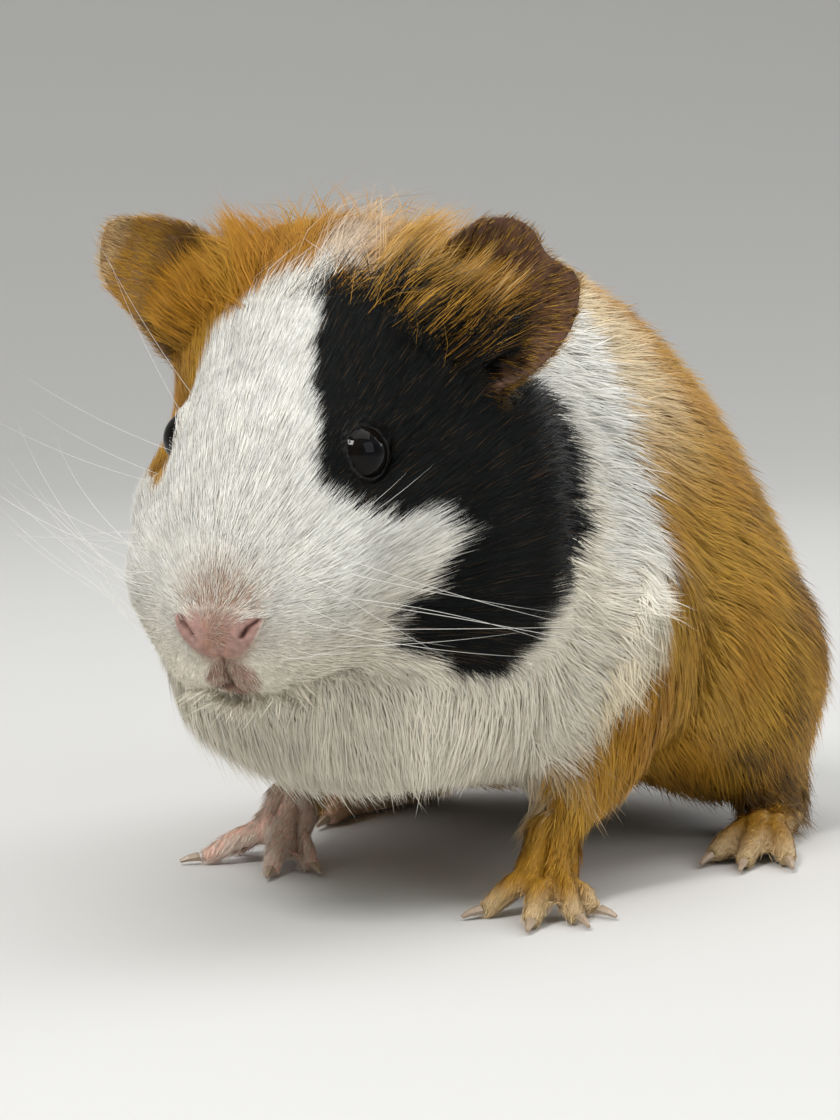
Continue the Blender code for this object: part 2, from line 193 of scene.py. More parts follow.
# the markings, one set for skin and coat
marks = {
    "white": (0.79, 0.78, 0.725),
    "cream": (0.77, 0.66, 0.45),
    "paleCrown": (0.56, 0.40, 0.25),
    "ginger": (0.41, 0.185, 0.015),
    "gold": (0.49, 0.280, 0.035),
    "crownGold": (0.60, 0.39, 0.15),
    "dark": (0.075, 0.042, 0.018),
    "black": (0.0036, 0.0046, 0.0044),
    "nosePink": (0.37, 0.222, 0.188),
    "lipPink": (0.27, 0.16, 0.12),
    "pinkSkin": (0.72, 0.44, 0.35),
    # ear skin: its own dark brown, painted darker on the left ear as in shade and painted lighter on the
    # right ear as lit through from behind
    "earSkinShadeAndLight": {"left": (0.115, 0.055, 0.028), "right": (0.21, 0.115, 0.045)},
    # outlines on the head: (ahead or behind the eyes, degrees round from the top), nose is negative
    "blackPatch": (
        (25, 5), (19, 4), (13.6, 7), (9, 13), (2, 19), (-3, 27), (-8, 38), (-11, 50), (-11.2, 66),
        (-8, 79), (-2, 91), (1.6, 95), (1.8, 100), (-1, 105), (-5, 110), (-9.3, 117), (-12.9, 124),
        (-13, 129), (-9, 130), (-1, 123.5), (5, 119.5), (10, 119), (16, 120.5), (24, 118), (31, 113),
        (35, 106), (38, 96), (37, 86), (33, 75), (30, 60), (28, 48), (26.5, 38), (26, 29), (25.5, 18),
    ),
    "gingerPatch": (
        (26, 1), (24, 2), (22.7, 5), (20.3, 16), (15.6, 28), (13.5, 36), (9.1, 43), (3.8, 50), (-1.4, 56),
        (-4.5, 59), (-8, 61), (-12.5, 62), (-12.5, 67), (-8, 74), (-3, 84), (2, 92), (6, 102), (10, 113),
        (15, 124), (23, 130), (34, 124), (46, 104), (54, 70), (58, 30), (50, 1),
    ),
}


def distanceInside(y, turn, outline):  # millimetres, positive inside; turn in degrees at a radius of 28 mm
    x, z = y, turn * 0.49
    corners = np.array(outline, float) * (1, 0.49)
    inside = np.zeros(len(x), bool)
    nearest = np.full(len(x), 1e9)
    for (ax, az), (bx, bz) in zip(corners, np.roll(corners, -1, axis=0)):
        ex, ez = bx - ax, bz - az
        t = np.clip(((x - ax) * ex + (z - az) * ez) / (ex * ex + ez * ez), 0, 1)
        nearest = np.minimum(nearest, np.hypot(x - ax - t * ex, z - az - t * ez))
        crosses = (az > z) != (bz > z)
        inside ^= crosses & (x < ex * (z - az) / np.where(ez == 0, 1e-9, ez) + ax)
    return np.where(inside, nearest, -nearest)


def plain(colour, count):  # one colour for every point
    return np.tile(np.array(colour), (count, 1))


def mixed(base, other, amount):
    return base + (np.asarray(other) - base) * np.broadcast_to(amount, len(base))[:, None]


def coatColours(points, headShare, chance=0.5):  # chance, one a hair, mixes two colours hair by hair
    h = inHead(points)
    w = points / mm
    turn = np.degrees(np.arctan2(h[:, 0], h[:, 2] + 8))
    rough = 1.2 * cloud(points, 0.004) + 0.8 * cloud(points, 0.0015, 5.3) + 1.2 * (chance - 0.5)
    tone = cloud(points, 0.007, 3.3)
    white = plain(marks["white"], len(points))
    ginger = mixed(plain(marks["ginger"], len(points)), marks["gold"], ramp(-0.5, 0.9, tone) * 0.7)

    onCrown = ramp(22, 27, h[:, 1] + 1.5 * rough) * ramp(-2, 4, h[:, 2])
    headColour = mixed(white, marks["cream"], 0.4 * ramp(-8, -24, h[:, 2]))
    headColour = mixed(headColour, marks["paleCrown"], onCrown * (0.85 + 0.15 * tone))
    sidesOrBack = np.maximum(ramp(10, 20, turn + 3 * rough), ramp(34, 46, h[:, 1] + 3 * rough))
    crownGinger = mixed(ginger, marks["crownGold"], 0.85 * ramp(0.45, 0.75, chance))
    headColour = mixed(headColour, crownGinger, onCrown * sidesOrBack * (1 - ramp(80, 95, turn)))
    right = ramp(-0.9, 0.9, distanceInside(h[:, 1], -turn, marks["gingerPatch"]) + rough)
    headColour = mixed(headColour, ginger, right)
    aboveNose = np.linalg.norm((h - (nose["middle"], -30, -7)) / (1.15, 1.0, 1.0), axis=1)
    headColour = mixed(headColour, (0.50, 0.38, 0.28), ramp(11, 3, aboveNose + 5 * chance) * 0.5)
    onPad = ramp(6.5, 3.5, np.hypot(h[:, 0] - nose["middle"], h[:, 2] + 14.5)) * ramp(-27, -30, h[:, 1])
    headColour = mixed(headColour, (0.44, 0.27, 0.19), 0.75 * onPad)
    onLips = np.hypot(h[:, 0] - mouth["middle"] - 0.7, h[:, 2] + 22.4)
    headColour = mixed(headColour, (0.42, 0.30, 0.23), ramp(5.0, 3.0, onLips) * ramp(-24, -28, h[:, 1]) * 0.7)

    edge = -2 - 1.05 * np.maximum(0, 50 - w[:, 2])
    behind = ramp(-2.5, 2.5, w[:, 1] - edge + 2.2 * rough)
    lowChest = ramp(66, 30, w[:, 2] + 5 * tone)
    bodyColour = mixed(white, marks["cream"], lowChest)
    farNeck = ramp(-25, -31, w[:, 0] + rough) * ramp(60, 48, w[:, 2]) * ramp(-66, -60, w[:, 1])
    bodyColour = mixed(bodyColour, ginger, farNeck)
    golden = mixed(ginger, marks["gold"], 0.35 + 0.45 * cloud(points, 0.014, 2.0))
    stripe = ramp(28, 6, w[:, 1] + 4 * rough) * ramp(62, 90, w[:, 2])
    golden = mixed(golden, marks["cream"], stripe * 0.8)
    # dark brown patches on the ginger, more of them towards the rump and fewer along the top of the back
    patches = cloud(points, 0.021, 9.1) + 0.35 * cloud(points, 0.006, 1.1) + 0.45 * ramp(15, 55, w[:, 1])
    patches = patches - 0.25 * ramp(60, 95, w[:, 2]) + 0.5 * (chance - 0.5)
    darkPatches = ramp(0.05, 0.75, patches) * ramp(8, 30, w[:, 1])
    golden = mixed(golden, marks["dark"], 0.85 * darkPatches)
    bodyColour = mixed(bodyColour, golden, behind)
    colour = headColour * headShare[:, None] + bodyColour * (1 - headShare[:, None])

    left = ramp(-0.6, 0.6, distanceInside(h[:, 1], turn, marks["blackPatch"]) + rough) * ramp(2, -3, w[:, 1])
    streaked = ramp(16, 26, h[:, 1]) * ramp(72, 42, turn) * ramp(-1, 7, h[:, 2])
    gingerHairs = ramp(0, 0.1, 0.55 * streaked - chance)
    dark = mixed(plain(marks["black"], len(points)), crownGinger, gingerHairs)
    dark = mixed(dark, marks["dark"], 0.7 * ramp(0.93, 0.96, chance))
    return colour + (dark - colour) * left[:, None]


def earColours(points, normals, chance):  # ginger behind, sparse dark and gold hairs in front, a pale rim
    onLeft = points[:, 0] > 0
    r = np.linalg.norm(points - np.where(onLeft[:, None], earRoot["left"], earRoot["right"]), axis=1) / mm
    facing = -(normals @ headTurnRows)[:, 1]
    back = mixed(plain(marks["ginger"], len(points)), marks["gold"], chance)
    near = mixed(plain((0.16, 0.07, 0.025), len(points)), marks["gold"], ramp(0.5, 0.9, chance))
    near = mixed(near, marks["black"], ramp(0.35, 0.15, chance))
    far = mixed(plain(marks["ginger"], len(points)), marks["gold"], chance)
    # painted shade: a darker band across the hollow of the right ear's front
    far = mixed(far, (0.12, 0.075, 0.035), ramp(9, 12, r) * ramp(19, 14, r) * 0.8)
    front = np.where(onLeft[:, None], near, far)
    front = mixed(front, marks["ginger"], ramp(12, 5, r) * 0.8)
    colour = mixed(back, front, ramp(-0.1, 0.4, facing))
    edge = ramp(23, 24, r) * ramp(-0.2, 0.2, facing)
    rim = np.maximum(ramp(0.35, 0.15, np.abs(facing)) * ramp(13, 15, r), edge)
    colour = mixed(colour, (0.62, 0.46, 0.25), rim * np.where(onLeft, 0.45, 0.7))
    lobe = ramp(6, 0, inHead(points)[:, 2]) * onLeft  # the lowest hair of the left ear fades into the black
    return mixed(colour, mixed(colour * 0.35, marks["black"], ramp(0.2, 0.6, chance)), 0.85 * lobe)


def pawColours(points, chance):  # the left forefoot is golden, its toes paler, the right one nearly bare
    x, y, z = (points / mm).T
    golden = mixed(plain(marks["gold"], len(points)), marks["ginger"], chance)
    golden = mixed(golden, (0.72, 0.56, 0.33), 0.8 * ramp(6.5, 2.5, z))
    pale = plain((0.82, 0.68, 0.58), len(points))
    return mixed(golden, pale, ramp(5, -5, x) * ramp(10, 0, y))


fleshNodes = ["head", "neck", "trunk"]
for part in ("foreleg", "hindleg", "forefoot", "hindfoot", "ear"):
    fleshNodes += [part + "_left", part + "_right"]
skinShape = {
    "swell": 0.35,  # closes the cuts between the solids
    "voxel": 0.85,
    "thinned": 0.62,  # share of the faces left once the plain skin under the long coat is made coarser
    "depth": {  # of the coat over the skin, millimetres
        "head": 1.2, "neck": 4.6, "trunk": 4.6, "foreleg": 2.2, "hindleg": 3.6,
        "forefoot": 0.10, "hindfoot": 0.15, "ear": 0.30,
    },
    "passes": 24,
    "smooth": {"forefoot": 0.06, "hindfoot": 0.08, "ear": 0.10},
    "swellings": (  # on the head: middle, reach each way, height, millimetres
        ((-20, -7, -8), (10, 9, 7), 2.5),
        ((-26, 9, -4), (6, 6, 6), -1.2),
    ),
}


def swollenFlesh():
    whole = bmesh.new()
    for name in fleshNodes:
        one = bmesh.new()
        one.from_mesh(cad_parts[name].data)
        bmesh.ops.remove_doubles(one, verts=one.verts, dist=1e-6)
        one.normal_update()
        for vertex in one.verts:
            vertex.co += vertex.normal * skinShape["swell"] * mm
        bridge = meshOfBm("bridge", one)
        whole.from_mesh(bridge)
        bpy.data.meshes.remove(bridge)
    for side in sides:
        place = Matrix.Translation(eyeCentre[side])
        bmesh.ops.create_icosphere(whole, subdivisions=4, radius=eyeRadius + 0.3 * mm, matrix=place)
    return meshOfBm("flesh", whole)


def remeshed(mesh, voxel):
    holder = linked("holder", mesh)
    modifier = holder.modifiers.new("join", "REMESH")
    modifier.mode = "VOXEL"
    modifier.voxel_size = voxel
    return finished(holder)


def refined(mesh, wanted, rounds):  # divides the faces whose corners are all wanted
    bm = bmesh.new()
    bm.from_mesh(mesh)
    for _ in range(rounds):
        points = np.array([v.co for v in bm.verts])
        chosen = wanted(points)
        bm.verts.ensure_lookup_table()
        edges = [e for e in bm.edges if chosen[e.verts[0].index] and chosen[e.verts[1].index]]
        bmesh.ops.subdivide_edges(bm, edges=edges, cuts=1, use_grid_fill=True)
        bm.verts.index_update()
    bmesh.ops.triangulate(bm, faces=bm.faces)
    return meshOfBm("skin", bm)


def thinned(mesh, hidden, keep):
    holder = linked("holder", mesh)
    group = holder.vertex_groups.new(name="plain")
    group.add(np.flatnonzero(hidden(pointsOf(mesh))).tolist(), 1.0, "REPLACE")
    modifier = holder.modifiers.new("thin", "DECIMATE")
    modifier.ratio = keep
    modifier.vertex_group = "plain"
    return finished(holder)


print("skin: joining the flesh")
skinMesh = remeshed(swollenFlesh(), skinShape["voxel"] * mm)


def nearFace(points):
    h = inHead(points)
    near = (h[:, 1] < -25) & (np.abs(h[:, 0] - 1) < 10)
    for side in sides:
        near |= eyeDistance(points, side) < 8.2 * mm
    return near


def underLongCoat(points):
    h = inHead(points)
    return (h[:, 1] > -8) & (points[:, 2] > 0.016)


skinMesh = refined(skinMesh, nearFace, 2)
skinPoints = pointsOf(skinMesh)
skinEdges = edgesOf(skinMesh)
skinTriangles = np.empty(len(skinMesh.polygons) * 3, np.int32)
skinMesh.loops.foreach_get("vertex_index", skinTriangles)
skinTriangles = skinTriangles.reshape(-1, 3)
print("skin:", len(skinPoints), "points", len(skinTriangles), "triangles")

# which solid each point belongs to, as soft shares
tree = KDTree(sum(len(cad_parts[n].data.vertices) for n in fleshNodes))
owner = []
for number, name in enumerate(fleshNodes):
    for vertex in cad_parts[name].data.vertices:
        tree.insert(vertex.co, len(owner))
        owner.append(number)
tree.balance()
owner = np.array(owner)
label = owner[np.array([tree.find(p)[1] for p in skinPoints])]
shares = np.eye(len(fleshNodes))[label]
kinds = {}
for number, name in enumerate(fleshNodes):
    kind = name.split("_")[0]
    kinds[kind] = kinds.get(kind, 0) + shares[:, number]
kindNames = list(kinds)
softShares = relaxed(np.stack([kinds[k] for k in kindNames], axis=1), skinEdges, 14)
share = {k: softShares[:, i] for i, k in enumerate(kindNames)}

smoothing = np.ones(len(skinPoints))
for kind, amount in skinShape["smooth"].items():
    smoothing = smoothing * (1 - kinds[kind]) + amount * kinds[kind]
skinPoints = relaxed(skinPoints, skinEdges, skinShape["passes"], smoothing)

depth = sum(share[k] * skinShape["depth"][k] for k in kindNames)
h = inHead(skinPoints)
onHeadDepth = 1.0 * ramp(8, 30, h[:, 1]) + 1.2 * ramp(14, 30, np.abs(h[:, 0])) - 0.5 * ramp(-24, -32, h[:, 1])
depth = depth + share["head"] * onHeadDepth
byEye = np.minimum(*(eyeDistance(skinPoints, side) for side in sides)) / mm
coatDepth = np.maximum(depth * np.interp(byEye, (6.5, 12), (0.35, 1.0)), 0.1)
skinNormals = normalsOf(skinPoints, skinTriangles)
skinPoints = skinPoints - skinNormals * ((coatDepth + skinShape["swell"]) * mm)[:, None]
h = inHead(skinPoints)
for centre, reach, height in skinShape["swellings"]:
    away = np.linalg.norm((h - centre) / reach, axis=1)
    skinPoints = skinPoints + skinNormals * (height * mm * share["head"] * np.exp(-(away**2)))[:, None]
skinPoints = relaxed(skinPoints, skinEdges, 5, smoothing)

eye = {
    "axis": {"left": (0.82, -0.36, 0.44), "right": (-0.90, -0.32, 0.26)},  # which way the opening faces
    "open": {"left": 53.0, "right": 49.0},  # degrees from the axis to the lid's edge
    "narrow": 6.0,  # degrees less at the front and back corners
    "lid": 0.30,  # millimetres of lid over the eyeball
    "clearOfHair": 1.05,  # times the eyeball's radius
}
nose = {"middle": 1.6, "top": -9.8, "bottom": -17.6, "raise": 0.45, "curve": 0.018}
mouth = {"middle": 1.8, "top": -17.4, "fork": -24.0, "corner": (5.2, -26.4)}


def lidAngle(points, side):  # degrees outside the lid's edge, less than nothing over the open eye
    axis = headTurnRows @ unit(np.array(eye["axis"][side]))
    away = unit(points - np.array(eyeCentre[side]))
    level = unit(np.cross(headTurnRows @ np.array((0.0, 0.0, 1.0)), axis))
    corner = (unit(away - np.outer(away @ axis, axis)) @ level) ** 2
    return np.degrees(np.arccos(np.clip(away @ axis, -1, 1))) + eye["narrow"] * corner - eye["open"][side]


def shapeLids(points):
    for side in sides:
        centre = np.array(eyeCentre[side])
        distance = eyeDistance(points, side)
        angle = lidAngle(points, side)
        radius = eyeRadius / mm
        heights = (radius - 1.2, radius - 0.9, radius + 0.05, radius + eye["lid"], radius + 0.3, radius + 0.6)
        wanted = np.interp(angle, (-60, -7, -1, 4, 14, 26), heights)
        hold = np.where(distance < eyeRadius + 6 * mm, 1 - ramp(12, 34, angle), 0.0)
        target = centre + unit(points - centre) * (wanted * mm)[:, None]
        points = points + (target - points) * hold[:, None]
    return points


def segmentDistance(x, z, a, b):
    ex, ez = b[0] - a[0], b[1] - a[1]
    t = np.clip(((x - a[0]) * ex + (z - a[1]) * ez) / (ex * ex + ez * ez), 0, 1)
    return np.hypot(x - a[0] - t * ex, z - a[1] - t * ez)


def noseMask(h):  # 1 on the bare pad
    x, z = np.abs(h[:, 0] - nose["middle"]), h[:, 2]
    top = nose["top"] - 0.030 * x**2
    bottom = nose["bottom"] + nose["curve"] * x**3
    inside = np.minimum(top - z, (z - bottom) * 0.75)
    return ramp(-0.45, 0.35, inside) * ramp(-25, -27.5, h[:, 1])


def lipMask(h):  # 1 on the thinly haired lips under the nose
    x = h[:, 0] - mouth["middle"] - 0.7
    away = np.hypot(x / 4.6, (h[:, 2] + 22.4) / 4.0)
    return ramp(1.15, 0.8, away) * ramp(-26, -28, h[:, 1]) * (1 - noseMask(h))


def nostrilDistance(x, z):  # from the curved slit of a nostril, millimetres
    upper = segmentDistance(x, z, (5.9, -11.8), (4.6, -12.5))
    return np.minimum(upper, segmentDistance(x, z, (4.6, -12.5), (3.8, -13.7)))


def shapeNose(points, normals):
    h = inHead(points)
    front = ramp(-24, -27, h[:, 1])
    x, z = h[:, 0] - nose["middle"], h[:, 2]
    move = nose["raise"] * noseMask(h)
    for sign in (1, -1):
        wing = np.hypot((x * sign - 5.4) / 2.6, (z + 12.6) / 2.0)
        move = move + 0.7 * np.exp(-(wing**2))
        slit = nostrilDistance(x * sign, z)
        hole = segmentDistance(x * sign, z, (4.6, -13.0), (3.8, -13.7))
        move = move - 0.75 * np.exp(-((slit / 0.34) ** 2)) - 0.6 * np.exp(-((hole / 0.45) ** 2))
        lobe = np.hypot((h[:, 0] - mouth["middle"]) * sign - 2.6, (z + 21.8) / 1.35)
        move = move + 0.8 * np.exp(-((lobe / 2.0) ** 2))
        lip = segmentDistance((h[:, 0] - mouth["middle"]) * sign, z, (0.2, mouth["fork"]), mouth["corner"])
        move = move - 1.5 * np.exp(-((lip / 0.55) ** 2))
    lean = (nose["bottom"] - z) / (nose["bottom"] - mouth["fork"]) * (mouth["middle"] - nose["middle"])
    cleft = segmentDistance(x - np.clip(lean, 0, 1), z, (0, mouth["top"]), (0, mouth["fork"]))
    groove = np.hypot(h[:, 0] - mouth["middle"], (z + 22.6) / 2.2)
    move = move - 0.9 * np.exp(-((cleft / 0.42) ** 2)) - 0.9 * np.exp(-((groove / 0.8) ** 2))
    return points + normals * (move * front * mm)[:, None]


def creaseShade(h):  # darker in the nostrils and along the mouth
    x, z = h[:, 0] - nose["middle"], h[:, 2]
    dark = 0.0
    for sign in (1, -1):
        slit = nostrilDistance(x * sign, z)
        lip = segmentDistance((h[:, 0] - mouth["middle"]) * sign, z, (0.2, mouth["fork"]), mouth["corner"])
        dark = np.maximum(dark, np.maximum(np.exp(-((slit / 0.29) ** 2)), np.exp(-((lip / 0.45) ** 2))))
    groove = np.hypot(h[:, 0] - mouth["middle"], (z + 22.6) / 2.0)
    return np.maximum(dark, 0.9 * np.exp(-((groove / 0.5) ** 2))) * ramp(-25, -27, h[:, 1])


# grooves between the toes: the end near the ankle, as a share of the way; depth and width in millimetres
toes = {
    "fore": {"from": 0.12, "deep": 3.2, "wide": 0.85},
    "hind": {"from": 0.45, "deep": 1.6, "wide": 0.75},
}


def shapeToes(points, normals):  # grooves that part the toes back to the knuckles
    for foot in ("forefoot_left", "forefoot_right", "hindfoot_left", "hindfoot_right"):
        kind, side = foot.replace("foot", "").split("_")
        low, high = (np.array(corner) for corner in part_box(foot))
        corners = [pointsOf(node.data) for name, node in sorted(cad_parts.items())
                   if name.startswith("claw_" + kind + "_" + side)]
        tips = np.array([c.mean(axis=0)[:2] for c in corners]) / mm
        footPoints = pointsOf(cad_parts[foot].data)
        ankle = footPoints[footPoints[:, 2] > low[2] + 0.6 * (high[2] - low[2])].mean(axis=0)[:2] / mm
        order = np.argsort(np.arctan2(*(tips - ankle).T))
        tips = tips[order]
        p = points / mm
        near = np.all((p > low / mm - 2) & (p < high / mm + 2), axis=1)
        move = np.zeros(len(points))
        for one, two in zip(tips, tips[1:]):
            between = (one + two) / 2
            start, end = ankle + (between - ankle) * 0.88, ankle + (between - ankle) * toes[kind]["from"]
            d = segmentDistance(p[:, 0], p[:, 1], start, end)
            along = np.clip(((p[:, :2] - end) @ (start - end)) / np.sum((start - end) ** 2), 0, 1)
            groove = toes[kind]["deep"] * along**0.7 * np.exp(-((d / toes[kind]["wide"]) ** 2))
            move = np.maximum(move, groove)
        move = move * near * ramp(-0.3, 0.3, normals[:, 2])
        points = points - normals * (move * mm)[:, None]
    return points


skinPoints = shapeLids(skinPoints)
skinNormals = normalsOf(skinPoints, skinTriangles)
skinPoints = shapeNose(skinPoints, skinNormals)
skinPoints = shapeToes(skinPoints, skinNormals)
skinPoints[:, 2] = np.maximum(skinPoints[:, 2], 0.0)
skinNormals = normalsOf(skinPoints, skinTriangles)
skinMesh.vertices.foreach_set("co", skinPoints.astype(np.float32).ravel())
skinMesh.update()
print("skin: shaped")

frontNeck = ramp(-22, -30, skinPoints[:, 1] / mm) * share["neck"]
headShare = np.clip(share["head"] + share["ear"] + frontNeck, 0, 1)
h = inHead(skinPoints)
skinColour = coatColours(skinPoints, headShare)
skinColour = skinColour * (0.85 + 0.10 * ramp(0.2, 0.6, skinColour[:, 2]))[:, None]
bareNose = noseMask(h)
thinLips = lipMask(h)
aroundNose = ramp(13, 3, np.linalg.norm(h - (nose["middle"], -31, -9.5), axis=1)) * (1 - bareNose)
skinColour = mixed(skinColour, (0.27, 0.145, 0.09), 0.85 * aroundNose)
skinColour = mixed(skinColour, marks["lipPink"], thinLips)
speckle = 0.5 + 0.5 * cloud(skinPoints, 0.0009, 2.2)
padMiddle = ramp(3.2, 1.0, np.abs(h[:, 0] - nose["middle"]))
padColour = mixed(plain(marks["nosePink"], len(h)), (0.36, 0.175, 0.095), 0.8 * padMiddle * speckle)
skinColour = skinColour + (padColour - skinColour) * bareNose[:, None]
skinColour = mixed(skinColour, (0.10, 0.040, 0.031), 0.85 * creaseShade(h))
feet = share["forefoot"] + share["hindfoot"]
feetColour = pawColours(skinPoints, np.full(len(skinPoints), 0.5)) * 0.7
feetColour = mixed(feetColour, marks["pinkSkin"], ramp(5, -5, skinPoints[:, 0] / mm))
skinColour = skinColour + (feetColour - skinColour) * ramp(0.2, 0.7, feet)[:, None]
earShare = ramp(0.3, 0.7, share["ear"])
# the ears' skin carries painted shade on the left ear and painted light on the right ear
for side, sign in sides.items():
    skinColour = mixed(skinColour, marks["earSkinShadeAndLight"][side], earShare * (skinPoints[:, 0] * sign > 0))
for side, sign in sides.items():
    away = eyeDistance(skinPoints, side) / mm
    rim = ramp(14, 7, lidAngle(skinPoints, side)) * ramp(eyeRadius / mm + 2.5, eyeRadius / mm + 1.5, away)
    skinColour = mixed(skinColour, (0.006, 0.005, 0.005) if sign > 0 else (0.10, 0.055, 0.035), rim)
setColours(skinMesh, "skinColour", skinColour)


def newMaterial(name):
    material = bpy.data.materials.new(name)
    material.use_nodes = True
    return material, material.node_tree.nodes, material.node_tree.links


def addNode(tree, kind, operation=None, **values):  # a node with its inputs set, an underscore for a space
    node = tree.nodes.new(kind)
    if operation:
        node.operation = operation
    for socket, value in values.items():
        node.inputs[socket.replace("_", " ")].default_value = value
    return node


def join(tree, *wires):  # each wire: a node and its output, then a node and its input
    for source, output, target, entry in wires:
        tree.links.new(source.outputs[output], target.inputs[entry])


def tintGroup():  # colour that varies a little over the surface, and a mask of the variation
    group = bpy.data.node_groups.new("fineTint", "ShaderNodeTree")
    group.interface.new_socket("Color", in_out="INPUT", socket_type="NodeSocketColor")
    group.interface.new_socket("Scale", in_out="INPUT", socket_type="NodeSocketFloat")
    group.interface.new_socket("Amount", in_out="INPUT", socket_type="NodeSocketFloat")
    group.interface.new_socket("Color", in_out="OUTPUT", socket_type="NodeSocketColor")
    group.interface.new_socket("Mask", in_out="OUTPUT", socket_type="NodeSocketFloat")
    given, out = group.nodes.new("NodeGroupInput"), group.nodes.new("NodeGroupOutput")
    place = group.nodes.new("ShaderNodeTexCoord")
    noise = addNode(group, "ShaderNodeTexNoise", Detail=3.0)
    spread = addNode(group, "ShaderNodeMapRange", From_Min=0.3, From_Max=0.7)
    less, more = addNode(group, "ShaderNodeMath", "SUBTRACT"), addNode(group, "ShaderNodeMath", "ADD")
    less.inputs[0].default_value = more.inputs[0].default_value = 1.0
    scaled = addNode(group, "ShaderNodeVectorMath", "SCALE")
    join(group, (place, "Object", noise, "Vector"), (given, "Scale", noise, "Scale"),
         (noise, "Fac", spread, "Value"), (given, "Amount", less, 1), (less, 0, spread, "To Min"),
         (given, "Amount", more, 1),
         (more, 0, spread, "To Max"), (given, "Color", scaled, 0), (spread, "Result", scaled, "Scale"),
         (scaled, "Vector", out, "Color"), (noise, "Fac", out, "Mask"))
    return group


fineTint = tintGroup()


def tinted(nodes, links, attribute, scale, amount):
    source = nodes.new("ShaderNodeAttribute")
    source.attribute_name = attribute
    tint = nodes.new("ShaderNodeGroup")
    tint.node_tree = fineTint
    tint.inputs["Scale"].default_value = scale
    tint.inputs["Amount"].default_value = amount
    links.new(source.outputs["Color"], tint.inputs["Color"])
    links.new(tint.outputs["Color"], nodes["Principled BSDF"].inputs["Base Color"])
    return tint


def skinMaterial():
    material, nodes, links = newMaterial("skin")
    shader = nodes["Principled BSDF"]
    shader.inputs["Roughness"].default_value = 0.52
    shader.inputs["Subsurface Weight"].default_value = 0.12
    shader.inputs["Subsurface Radius"].default_value = (0.0012, 0.0005, 0.0003)
    shader.inputs["Specular IOR Level"].default_value = 0.3
    tint = tinted(nodes, links, "skinColour", 900.0, 0.22)
    bump = addNode(material.node_tree, "ShaderNodeBump", Strength=0.35, Distance=0.0003)
    join(material.node_tree, (tint, "Mask", bump, "Height"), (bump, "Normal", shader, "Normal"))
    return material


def coatMaterial():  # pale hair is rougher than dark hair, with more gloss
    material, nodes, links = newMaterial("coat")
    tree, shader = material.node_tree, nodes["Principled BSDF"]
    tint = tinted(nodes, links, "coatColour", 260.0, 0.10)
    paleness = nodes.new("ShaderNodeRGBToBW")
    rough = addNode(tree, "ShaderNodeMapRange", From_Max=0.4, To_Min=0.33, To_Max=0.62)
    shine = addNode(tree, "ShaderNodeMapRange", From_Max=0.3, To_Min=0.11, To_Max=0.24)
    join(tree, (tint, "Color", paleness, "Color"), (paleness, "Val", rough, "Value"),
         (paleness, "Val", shine, "Value"), (rough, "Result", shader, "Roughness"),
         (shine, "Result", shader, "Specular IOR Level"))
    return material


def eyeMaterial():
    material, nodes, links = newMaterial("eyeball")
    tinted(nodes, links, "eyeColour", 1500.0, 0.25)
    nodes["Principled BSDF"].inputs["Roughness"].default_value = 0.04
    nodes["Principled BSDF"].inputs["Specular IOR Level"].default_value = 0.14
    return material


def speckled(name, scale, dark, pale, roughness):  # horn and whiskers: two colours mixed by fine noise
    material, nodes, _ = newMaterial(name)
    tree, shader = material.node_tree, nodes["Principled BSDF"]
    place = nodes.new("ShaderNodeTexCoord")
    noise = addNode(tree, "ShaderNodeTexNoise", Scale=scale)
    colours = nodes.new("ShaderNodeValToRGB")
    for element, colour in zip(colours.color_ramp.elements, (dark, pale)):
        element.color = (*colour, 1)
    join(tree, (place, "Object", noise, "Vector"), (noise, "Fac", colours, "Fac"),
         (colours, "Color", shader, "Base Color"))
    shader.inputs["Roughness"].default_value = roughness
    return material


skinFinish, coatFinish, eyeFinish = skinMaterial(), coatMaterial(), eyeMaterial()
hornFinish = speckled("horn", 700.0, (0.27, 0.19, 0.13), (0.52, 0.41, 0.30), 0.3)
skinMesh = thinned(skinMesh, lambda points: underLongCoat(points) & (earShare < 0.1), skinShape["thinned"])
skinMesh.name = "skin"
print("skin:", len(skinMesh.polygons), "faces kept")
addPiece("skin", skinMesh, skinFinish, fleshNodes)


def eyeball(side):
    bm = bmesh.new()
    bmesh.ops.create_uvsphere(bm, u_segments=64, v_segments=40, radius=1.0)
    axis = headTurn @ Vector(eye["axis"][side]).normalized()
    turn = Vector((0, 0, 1)).rotation_difference(axis).to_matrix()
    angles = []
    for vertex in bm.verts:
        angle = math.degrees(vertex.co.angle(Vector((0, 0, 1))))
        bulge = 1 + 0.05 * max(0.0, 1 - (angle / 44) ** 2)
        vertex.co = eyeCentre[side] + turn @ vertex.co * bulge * eyeRadius
        angles.append(angle)
    mesh = meshOfBm("eyeball_" + side, bm)
    mesh.polygons.foreach_set("use_smooth", np.ones(len(mesh.polygons), bool))
    angles = np.array(angles)
    colour = plain((0.002, 0.002, 0.003), len(angles))
    colour = mixed(colour, (0.004, 0.003, 0.002), ramp(20, 27, angles))
    colour = mixed(colour, (0.003, 0.002, 0.002), ramp(38, 44, angles))
    setColours(mesh, "eyeColour", colour)
    addPiece("eyeball_" + side, mesh, eyeFinish, ["eye_" + side])


for side in sides:
    eyeball(side)
for name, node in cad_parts.items():
    if name.startswith("claw"):
        node.data.materials.clear()
        node.data.materials.append(hornFinish)

w = skinPoints / mm
h = inHead(skinPoints)
earRoot = {side: fromHead((sign * 19.0, 26.0, 8.0))[0] for side, sign in sides.items()}


limbFlow = {"foreleg": (0.0, -0.10, -1.0), "hindleg": (0.0, 0.65, -0.75), "forefoot": (0.0, -0.8, -0.5),
            "hindfoot": (0.0, -1.0, -0.1)}


